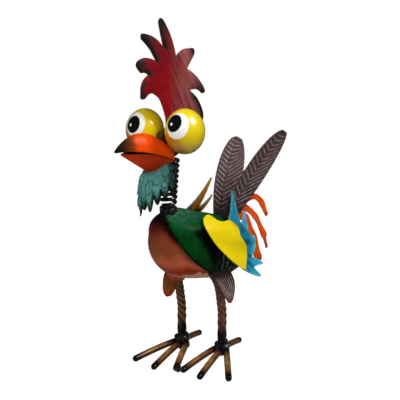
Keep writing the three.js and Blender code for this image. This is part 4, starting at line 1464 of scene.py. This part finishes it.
class ROOSTER_OT_tail(bpy.types.Operator):
    """Adds the two ribbed tail feathers and the plume of three fingers"""

    bl_idname = "rooster.tail"
    bl_label = "Tail"

    def execute(self, context):
        sizes = context.scene.rooster_tail
        paint = paints(context)
        half_width = sizes.half_width / MM
        relief = sizes.relief / MM

        # Mauve-brown enamel wiped off the pressed barbs, so that each shows as a pale line
        mauve = enamel(
            "feather_mauve_enamel",
            [(0.0, "#2f2526"), (0.4, "#483739"), (0.7, paint["feather"]), (1.0, "#6a5355")],
            grain=(4, 14, 4),
            smudge=0.3,
            wash=0.2,
            ridge="#c9b8b0",
            roughness=0.36,
            coat=0.1,
            coat_roughness=0.15,
        )
        for side, (root, tip, rib, rib_lift, rakes) in TAIL.items():
            run = (tip - root).length
            axis = (tip - root).normalized()
            across = (BACK - axis * BACK.dot(axis)).normalized()
            face = axis.cross(across)

            def barb(u, v):
                edge = 2 * u - 1
                wave = 0.5 + 0.5 * math.cos(2 * math.pi * v * sizes.barbs)
                line = wave**BARB_SHARPNESS * ramp(abs(edge - rib), 0.01, 0.08) * ramp(abs(edge), 1.0, 0.9)
                return line * ramp(v, 0.02, 0.2) * ramp(v, 0.99, 0.93)

            def leaf(u, v):
                on_rib = LEAF_TIP_SHARE * v
                edge = 2 * u - 1
                rake = half_width / run * rakes[edge > rib] * (1 - on_rib**4) * ramp(on_rib, 0, 0.15)
                share = on_rib + abs(edge - rib) * rake * leaf_width(on_rib)
                widest = leaf_width(min(share, LEAF_TIP_SHARE))
                width = edge * half_width * widest
                crease = rib_lift + (1 - rib_lift) * abs(edge)
                lift = crease * half_width * widest * sizes.fold + relief * barb(u, v)
                return root + axis * (share * run) + across * width + face * lift

            def marks(u, v):
                # Darker towards the root: painted shade where the feathers meet the body
                return 0.1 + 0.55 * ramp(v, 0.0, 0.5), 0.9 * barb(u, v) ** 2

            feather = sheet(32, sizes.barbs * 10, (2 * half_width, run), leaf, marks)
            name = f"tail_feather_{side}"
            piece(name, feather, "frame", "feather_paint", [mauve], node=name, thickness=THIN_SHEET)

        # Orange enamel, redder towards the tips of the fingers and dark at their roots
        orange = enamel(
            "plume_orange_enamel",
            [(0.0, "#1c0a05"), (0.2, "#9c2a06"), (0.4, "#c63e06"), (0.65, paint["plume"]), (1.0, "#ea6212")],
            grain=(3, 16, 3),
            smudge=0.25,
            wash=0.12,
            ridge="#7c2008",
            roughness=0.36,
        )
        plume = bmesh.new()
        for number, (line, layer) in enumerate(PLUME):

            def finger(u, v):
                y, z, width = through(line, v)
                ahead, behind = through(line, min(v + 0.01, 1)), through(line, max(v - 0.01, 0))
                along = (ahead - behind).xy.normalized()
                off = (u - 0.5) * width
                return Vector((layer, y - along.y * off, z + along.x * off))

            def marks(u, v):
                tip = 0.5 * ramp(v, 0.7, 1.0) + (0.6 * ramp(v, 0.93, 1.0) if number == 2 else 0)
                return 0.75 - tip - 0.75 * ramp(v, 0.14, 0.04), 0.6 * ramp(abs(2 * u - 1), 0.75, 1.0)

            join(plume, sheet(6, 72, (10, 110), finger, marks))
        piece(
            "tail_plume", plume, "frame", "plume_paint", [orange], node="tail_plume", thickness=THIN_SHEET
        )
        return {"FINISHED"}


# Legs and feet, in a frame that is turned to the bird's left: a is sideways, b is backwards

LEG_BACK = 2.3
# A leg's middle line, as (height, how far forward it leans), and the run over which its ribs wind
LEG_BEND = [(10, 0), (45, 0), (64, 0), (80, 2.2), (93, 4.3), (105, 7.5), (117, 12), (130, 17)]
LEG_RUN = 125
# Above this height a leg turns inwards, by so much over so much height
LEG_TUCK_Z = 100
LEG_TUCK_OVER = 30
LEG_TUCK = 9
# Where the hip's weld starts on the leg and how far it goes, its least radius, its swell and its lumps
HIP_START = 0.65
HIP_RUN = 0.24
HIP_RADIUS = 6.6
HIP_SWELL = 6.6
HIP_LUMPS = 3
ANKLE_Z = 14
ANKLE_HALF = Vector((10.5, 9.5, 12.5))
ANKLE_LUMPS = 3.6
ANKLE_LUMP_SIZE = 7.5
TOE_REST_Z = 3.2
TOE_TOP_Z = 12
TOE_ROOT = 3
TOE_KNUCKLE_Z = 11
TOE_KNUCKLE_SHARE = 0.4
# Each toe: how far beside the leg it starts, and where its tip rests
TOES = {
    "inner": (-8, (4.5, -65)),
    "middle": (0, (33, -73.5)),
    "outer": (6.5, (68.5, -62)),
    "back": (0, (31, 60.5)),
}
TOE_WELD_SPOT = Vector((0, -64.2, 4.6))
TOE_WELD_HALF = Vector((5.5, 3.6, 4.2))
SIDES = {"left": 1, "right": -1}
# How light each leg's lacquer is, and how golden its ribs
LEG_TONES = {"left": (0.55, 0.5), "right": (0.32, 1.0)}


def bar_lacquer(name, shades, smudge, ridge):
    """Lacquer over hot-rolled steel: black where it was welded, dark in the hollows, paler on the ribs,
    partly as painted highlight.
    """
    return enamel(
        name,
        [(0.0, "#090807"), *shades],
        grain=(5, 9, 5),
        smudge=smudge,
        wash=0.3,
        ridge=ridge,
        roughness=0.32,
        metallic=0.2,
        coat=0.5,
        coat_roughness=0.1,
    )


def amber_lacquer(context):
    """Amber over the right leg and the toes: brown in the hollows, golden on the ribs, partly as painted
    highlight.
    """
    main = paints(context)["lacquer"]
    shades = [(0.18, "#1c100a"), (0.4, "#4c2612"), (0.7, main), (1.0, "#80502a")]
    return bar_lacquer("amber_lacquer", shades, 0.16, "#a27a3c")


def russet_lacquer():
    """The same lacquer scorched redder on the left leg: plum-brown with dull ribs."""
    shades = [(0.18, "#1c100b"), (0.4, "#43241a"), (0.7, "#5e382a"), (1.0, "#7a503c")]
    return bar_lacquer("russet_lacquer", shades, 0.2, "#8c6a48")


def stand(context, bm):
    """Turns a mesh of the legs to the stance of the feet."""
    turn = Matrix.Rotation(context.scene.rooster_legs.turn, 3, "Z")
    bmesh.ops.rotate(bm, cent=(0, 0, 0), matrix=turn, verts=bm.verts)


def leg_line(context, side):
    """The middle of a leg, from the ankle up into the body."""
    legs = context.scene.rooster_legs
    forward = Vector((-math.sin(legs.turn), -math.cos(legs.turn), 0))
    points = []
    for z, lean in LEG_BEND:
        out = legs.spread / MM - LEG_TUCK * (max(0, z - LEG_TUCK_Z) / LEG_TUCK_OVER) ** 2
        points.append(Vector((side * out, LEG_BACK, z)) + forward * lean)
    return lambda share: through(points, share)


class ROOSTER_OT_legs(bpy.types.Operator):
    """Adds the ribbed legs, the welds at the ankles and the weld at the right hip"""

    bl_idname = "rooster.legs"
    bl_label = "Legs"

    def execute(self, context):
        legs = context.scene.rooster_legs
        finishes = {"left": russet_lacquer(), "right": amber_lacquer(context)}
        radius, rib, pitch = legs.bar_radius / MM, legs.rib / MM, legs.rib_pitch / MM
        for name, side in SIDES.items():
            tone, gold = LEG_TONES[name]

            def ribbed(t, turn):
                return math.cos(2 * turn + t * LEG_RUN / pitch * math.pi) ** 4

            def marks(u, v):
                # Golden along the winding ribs: partly painted highlight
                golden = gold * ribbed(v, 2 * math.pi * u)
                return tone * ramp(v, 0.08, 0.16), golden * ramp(v, 0.1, 0.18)

            leg = tube(
                leg_line(context, side), 32, 230, lambda t, turn: radius + rib * ribbed(t, turn), marks
            )
            stand(context, leg)
            piece(f"leg_{name}", leg, "frame", "bar_lacquer", [finishes[name]], node=f"leg_{name}")
            spot = Vector((side * legs.spread / MM, LEG_BACK, ANKLE_Z))
            ankle = ball(spot, ANKLE_HALF, 5, lumps=ANKLE_LUMPS, grain=ANKLE_LUMP_SIZE)
            stand(context, ankle)
            piece(f"ankle_weld_{name}", ankle, "frame", "black_paint", [black_gloss()])

        # Weld metal flowed round the top of the right leg, painted with the breast: lumpy, thickly glossed
        red_weld = enamel(
            "rust_weld",
            [(0.0, "#4a1508"), (0.5, "#b0451c"), (1.0, "#cc6a3c")],
            grain=(6, 6, 6),
            smudge=0.4,
            wash=0.25,
            roughness=0.3,
            coat=0.8,
            bump=0.4,
        )
        hip_line = leg_line(context, SIDES["right"])

        def hip_radius(t, turn):
            spot = Vector((2.2 * math.cos(turn), 2.2 * math.sin(turn), 4 * t))
            return HIP_RADIUS + HIP_SWELL * ramp(t, 0, 0.45) + HIP_LUMPS * noise.noise(spot)

        collar = tube(
            lambda t: hip_line(HIP_START + HIP_RUN * t),
            40,
            24,
            hip_radius,
            lambda u, v: (0.5 + 0.3 * v, 0.0),
        )
        stand(context, collar)
        piece("hip_collar_right", collar, "frame", "breast_paint", [red_weld], node="hip_collar_right")
        return {"FINISHED"}


class ROOSTER_OT_toes(bpy.types.Operator):
    """Adds the eight toes and the weld that joins the two inner ones"""

    bl_idname = "rooster.toes"
    bl_label = "Toes"

    def execute(self, context):
        legs = context.scene.rooster_legs
        lacquer = amber_lacquer(context)
        radius = legs.toe_radius / MM
        for name, side in SIDES.items():
            for toe, (start, (a, b)) in TOES.items():
                hub = Vector((side * (legs.spread / MM + start), LEG_BACK, TOE_TOP_Z))
                tip = Vector((side * a, b, TOE_REST_Z))
                way = (tip - hub).xy.normalized().to_3d()
                root = hub + way * TOE_ROOT
                knuckle = root.lerp(tip, TOE_KNUCKLE_SHARE)
                knuckle.z = TOE_KNUCKLE_Z
                rod = tube(
                    lambda t: arc((root, knuckle, tip), t),
                    24,
                    60,
                    lambda t, turn: radius * (1 - 0.35 * ramp(t, 0.965, 1.0) ** 2),
                    lambda u, v: (
                        0.45 * ramp(v, 0.08, 0.24) * ramp(v, 0.95, 0.84),
                        (0.3 if toe == "back" else 0.7) * ramp(v, 0.2, 0.4) * ramp(v, 0.9, 0.7),
                    ),
                )
                # The golden lines are kept to the rods' upper sides: painted light on top, painted shade on
                # the sides
                golden = rod.verts.layers.float["ridge"]
                for vert in rod.verts:
                    vert[golden] *= ramp(vert.normal.z, 0, 0.9)
                    vert.co.z = max(vert.co.z, 0)
                stand(context, rod)
                piece(f"toe_{name}_{toe}", rod, "frame", "bar_lacquer", [lacquer], node=f"toe_{name}_{toe}")
        bead = ball(TOE_WELD_SPOT, TOE_WELD_HALF, 4, lumps=1.6, grain=4)
        stand(context, bead)
        piece("toe_weld", bead, "frame", "black_paint", [black_gloss()])
        return {"FINISHED"}


# Thigh feathers, each a fan in an upright plane, as (y, z)

# Each: how far out it hangs, the line of its middle, its half width, and how late it narrows
THIGHS = {
    "left": (34.2, [(-4, 134), (18, 108), (21, 75.5)], 19, 1.5),
    "right": (-35.9, [(-14, 136), (-21, 108), (-26, 77.5)], 14.5, 5),
}
# How pointed the tips are, and how far along a feather stops
THIGH_POINT = 0.58
THIGH_TIP_SHARE = 0.985
# How far the roots are tucked in under the belly, and over what share of the feather
THIGH_TUCK = 12
THIGH_TUCK_SHARE = 0.55
THIGH_VEINS = 8
THIGH_RUN = 62


class ROOSTER_OT_thighs(bpy.types.Operator):
    """Adds the veined feathers that hang beside the legs"""

    bl_idname = "rooster.thighs"
    bl_label = "Thigh feathers"

    def execute(self, context):
        # Purple-brown enamel with pale veins that run together at the tip
        purple = enamel(
            "thigh_purple_enamel",
            [(0.0, "#8e3228"), (0.25, "#6a3434"), (0.6, "#523638"), (1.0, "#241c1a")],
            grain=(2, 14, 2),
            smudge=0.2,
            wash=0.25,
            ridge="#c8aca8",
            roughness=0.36,
        )
        # Orange-brown enamel with the same veins in dull gold
        golden = enamel(
            "thigh_golden_enamel",
            [(0.0, "#a83a16"), (0.3, "#b84c1c"), (0.7, "#a85a26"), (1.0, "#8a3c18")],
            grain=(2, 14, 2),
            smudge=0.25,
            wash=0.25,
            ridge="#b08848",
            roughness=0.36,
        )
        for side, finish in (("left", purple), ("right", golden)):
            x, line, half, fullness = THIGHS[side]
            outwards = math.copysign(1, x)

            def vein(u, v):
                wave = 0.5 + 0.5 * math.cos(2 * math.pi * u * THIGH_VEINS)
                return wave**3 * ramp(abs(2 * u - 1), 1.0, 0.9) * ramp(v, 0.96, 0.8)

            def fan(u, v):
                share = THIGH_TIP_SHARE * v
                at = arc(line, share)
                width = half * (1 - share**fullness) ** THIGH_POINT
                tuck = THIGH_TUCK * max(0, 1 - share / THIGH_TUCK_SHARE) ** 1.5
                out = x + outwards * (0.5 * vein(u, v) - tuck)
                return Vector((out, at.x + (1 - 2 * u) * width, at.y))

            def marks(u, v):
                side = 0.8 * ramp(abs(2 * u - 1), 0.8, 1.0) * ramp(v, 0.4, 0.7)
                rim = max(ramp(v, 0.82, 0.98), side)
                return 0.8 - 0.7 * rim, vein(u, v) * ramp(v, 0.3, 0.5)

            feather = sheet(64, 48, (2 * half, THIGH_RUN), fan, marks)
            name = f"thigh_feather_{side}"
            piece(name, feather, "frame", "thigh_paint", [finish], node=name, thickness=THIN_SHEET)
        return {"FINISHED"}


# Stage

CAMERA_SPOT = (702.3, -632.3, 417)
CAMERA_AZIMUTH = math.radians(48)
CAMERA_DROP = math.radians(12.2)
CAMERA_LENS = 67.32
CAMERA_SENSOR = 36
CAMERA_SHIFT = -0.0025
# Where the lamps point
LIT_POINT = Vector((0, -10, 220))
FLOOR_RADIUS = 420
# Each lamp: direction seen by the camera (right, up, back), distance, width, height in millimetres, power,
# and whether paint mirrors it
LAMPS = {
    "key_softbox": ((0.60, 0.66, 0.445), 1300, 560, 640, 14.0, True),
    "side_softbox": ((-0.92, 0.38, 0.05), 1400, 420, 900, 2.5, False),
    "front_softbox": ((-0.25, 0.35, 0.9), 1500, 900, 900, 15.0, False),
    "back_softbox": ((-0.3, 0.5, -0.81), 1500, 900, 900, 7.0, False),
}


class ROOSTER_OT_stage(bpy.types.Operator):
    """Adds the pale floor, the soft studio lamps and the camera"""

    bl_idname = "rooster.stage"
    bl_label = "Stage"

    def execute(self, context):
        scene = context.scene
        scene.view_settings.view_transform = "Standard"
        floor = bmesh.new()
        bmesh.ops.create_circle(floor, cap_ends=True, segments=96, radius=FLOOR_RADIUS)
        mesh = bpy.data.meshes.new("floor")
        bmesh.ops.scale(floor, vec=(MM, MM, MM), verts=floor.verts)
        floor.to_mesh(mesh)
        floor.free()
        ground = bpy.data.objects.new("floor", mesh)
        scene.collection.objects.link(ground)
        # Matt white card, lit up to white where the camera looks at it
        material, tree, shader = blank("white_card")
        shader.inputs["Base Color"].default_value = linear("#8c8c8a")
        shader.inputs["Roughness"].default_value = 0.8
        shader.inputs["Specular IOR Level"].default_value = 0.1
        shader.inputs["Emission Color"].default_value = (1, 1, 1, 1)
        seen = add(tree, "ShaderNodeLightPath").outputs["Is Camera Ray"]
        glow = add(
            tree, "ShaderNodeMapRange", {"Value": seen, "To Min": 0.0, "To Max": 0.94}
        ).outputs["Result"]
        tree.links.new(glow, shader.inputs["Emission Strength"])
        mesh.materials.append(material)

        world = bpy.data.worlds.new("studio")
        world.use_nodes = True
        scene.world = world
        tree = world.node_tree
        sky = next(node for node in tree.nodes if node.type == "BACKGROUND")
        path = add(tree, "ShaderNodeLightPath").outputs
        around = add(
            tree, "ShaderNodeMapRange", {"Value": path["Is Glossy Ray"], "To Min": 0.13, "To Max": 0.03}
        ).outputs["Result"]
        strength = add(
            tree, "ShaderNodeMapRange", {"Value": path["Is Camera Ray"], "To Min": around, "To Max": 1.0}
        ).outputs["Result"]
        sky.inputs["Color"].default_value = (1, 1, 1, 1)
        tree.links.new(strength, sky.inputs["Strength"])

        forward = Vector((
            -math.sin(CAMERA_AZIMUTH) * math.cos(CAMERA_DROP),
            math.cos(CAMERA_AZIMUTH) * math.cos(CAMERA_DROP),
            -math.sin(CAMERA_DROP),
        ))
        right = forward.cross(UP).normalized()
        lens = bpy.data.cameras.new("camera")
        lens.lens = CAMERA_LENS
        lens.sensor_width = CAMERA_SENSOR
        lens.shift_x = CAMERA_SHIFT
        camera = bpy.data.objects.new("camera", lens)
        camera.location = in_frame(CAMERA_SPOT)
        camera.rotation_euler = forward.to_track_quat("-Z", "Y").to_euler()
        scene.collection.objects.link(camera)
        scene.camera = camera

        axes = (right, right.cross(forward), -forward)
        for name, (towards, distance, width, height, power, mirrored) in LAMPS.items():
            way = sum((axis * share for axis, share in zip(axes, towards)), Vector()).normalized()
            lamp = bpy.data.lights.new(name, "AREA")
            lamp.shape = "RECTANGLE"
            lamp.size, lamp.size_y = width * MM, height * MM
            lamp.energy = power
            holder = bpy.data.objects.new(name, lamp)
            holder.visible_glossy = mirrored
            holder.location = in_frame(LIT_POINT + way * distance)
            holder.rotation_euler = (-way).to_track_quat("-Z", "Y").to_euler()
            scene.collection.objects.link(holder)
        return {"FINISHED"}


OPERATORS = (
    ROOSTER_OT_stage,
    ROOSTER_OT_body,
    ROOSTER_OT_neck,
    ROOSTER_OT_eyes,
    ROOSTER_OT_comb,
    ROOSTER_OT_beak,
    ROOSTER_OT_wattle,
    ROOSTER_OT_wings,
    ROOSTER_OT_tail,
    ROOSTER_OT_legs,
    ROOSTER_OT_toes,
    ROOSTER_OT_thighs,
)


class ROOSTER_PT_panel(bpy.types.Panel):
    """Lists the pieces of the rooster and their sizes"""

    bl_idname = "ROOSTER_PT_panel"
    bl_label = "Garden Rooster"
    bl_space_type = "VIEW_3D"
    bl_region_type = "UI"
    bl_category = "Rooster"

    def draw(self, context):
        for operator in OPERATORS:
            self.layout.operator(operator.bl_idname)
        for group in SETTINGS:
            box = self.layout.box()
            settings = getattr(context.scene, group)
            for name in SETTINGS[group].__annotations__:
                box.prop(settings, name)


CLASSES = (*SETTINGS.values(), *OPERATORS, ROOSTER_PT_panel)


def register():
    """Adds the settings, the operators and the panel."""
    for made in CLASSES:
        bpy.utils.register_class(made)
    for name, group in SETTINGS.items():
        setattr(bpy.types.Scene, name, bpy.props.PointerProperty(type=group))


def unregister():
    """Takes them away again."""
    for name in SETTINGS:
        delattr(bpy.types.Scene, name)
    for made in reversed(CLASSES):
        bpy.utils.unregister_class(made)


def main():
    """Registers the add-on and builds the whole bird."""
    register()
    for operator in OPERATORS:
        group, action = operator.bl_idname.split(".")
        getattr(getattr(bpy.ops, group), action)()
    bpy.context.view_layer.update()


if __name__ == "__main__":
    main()
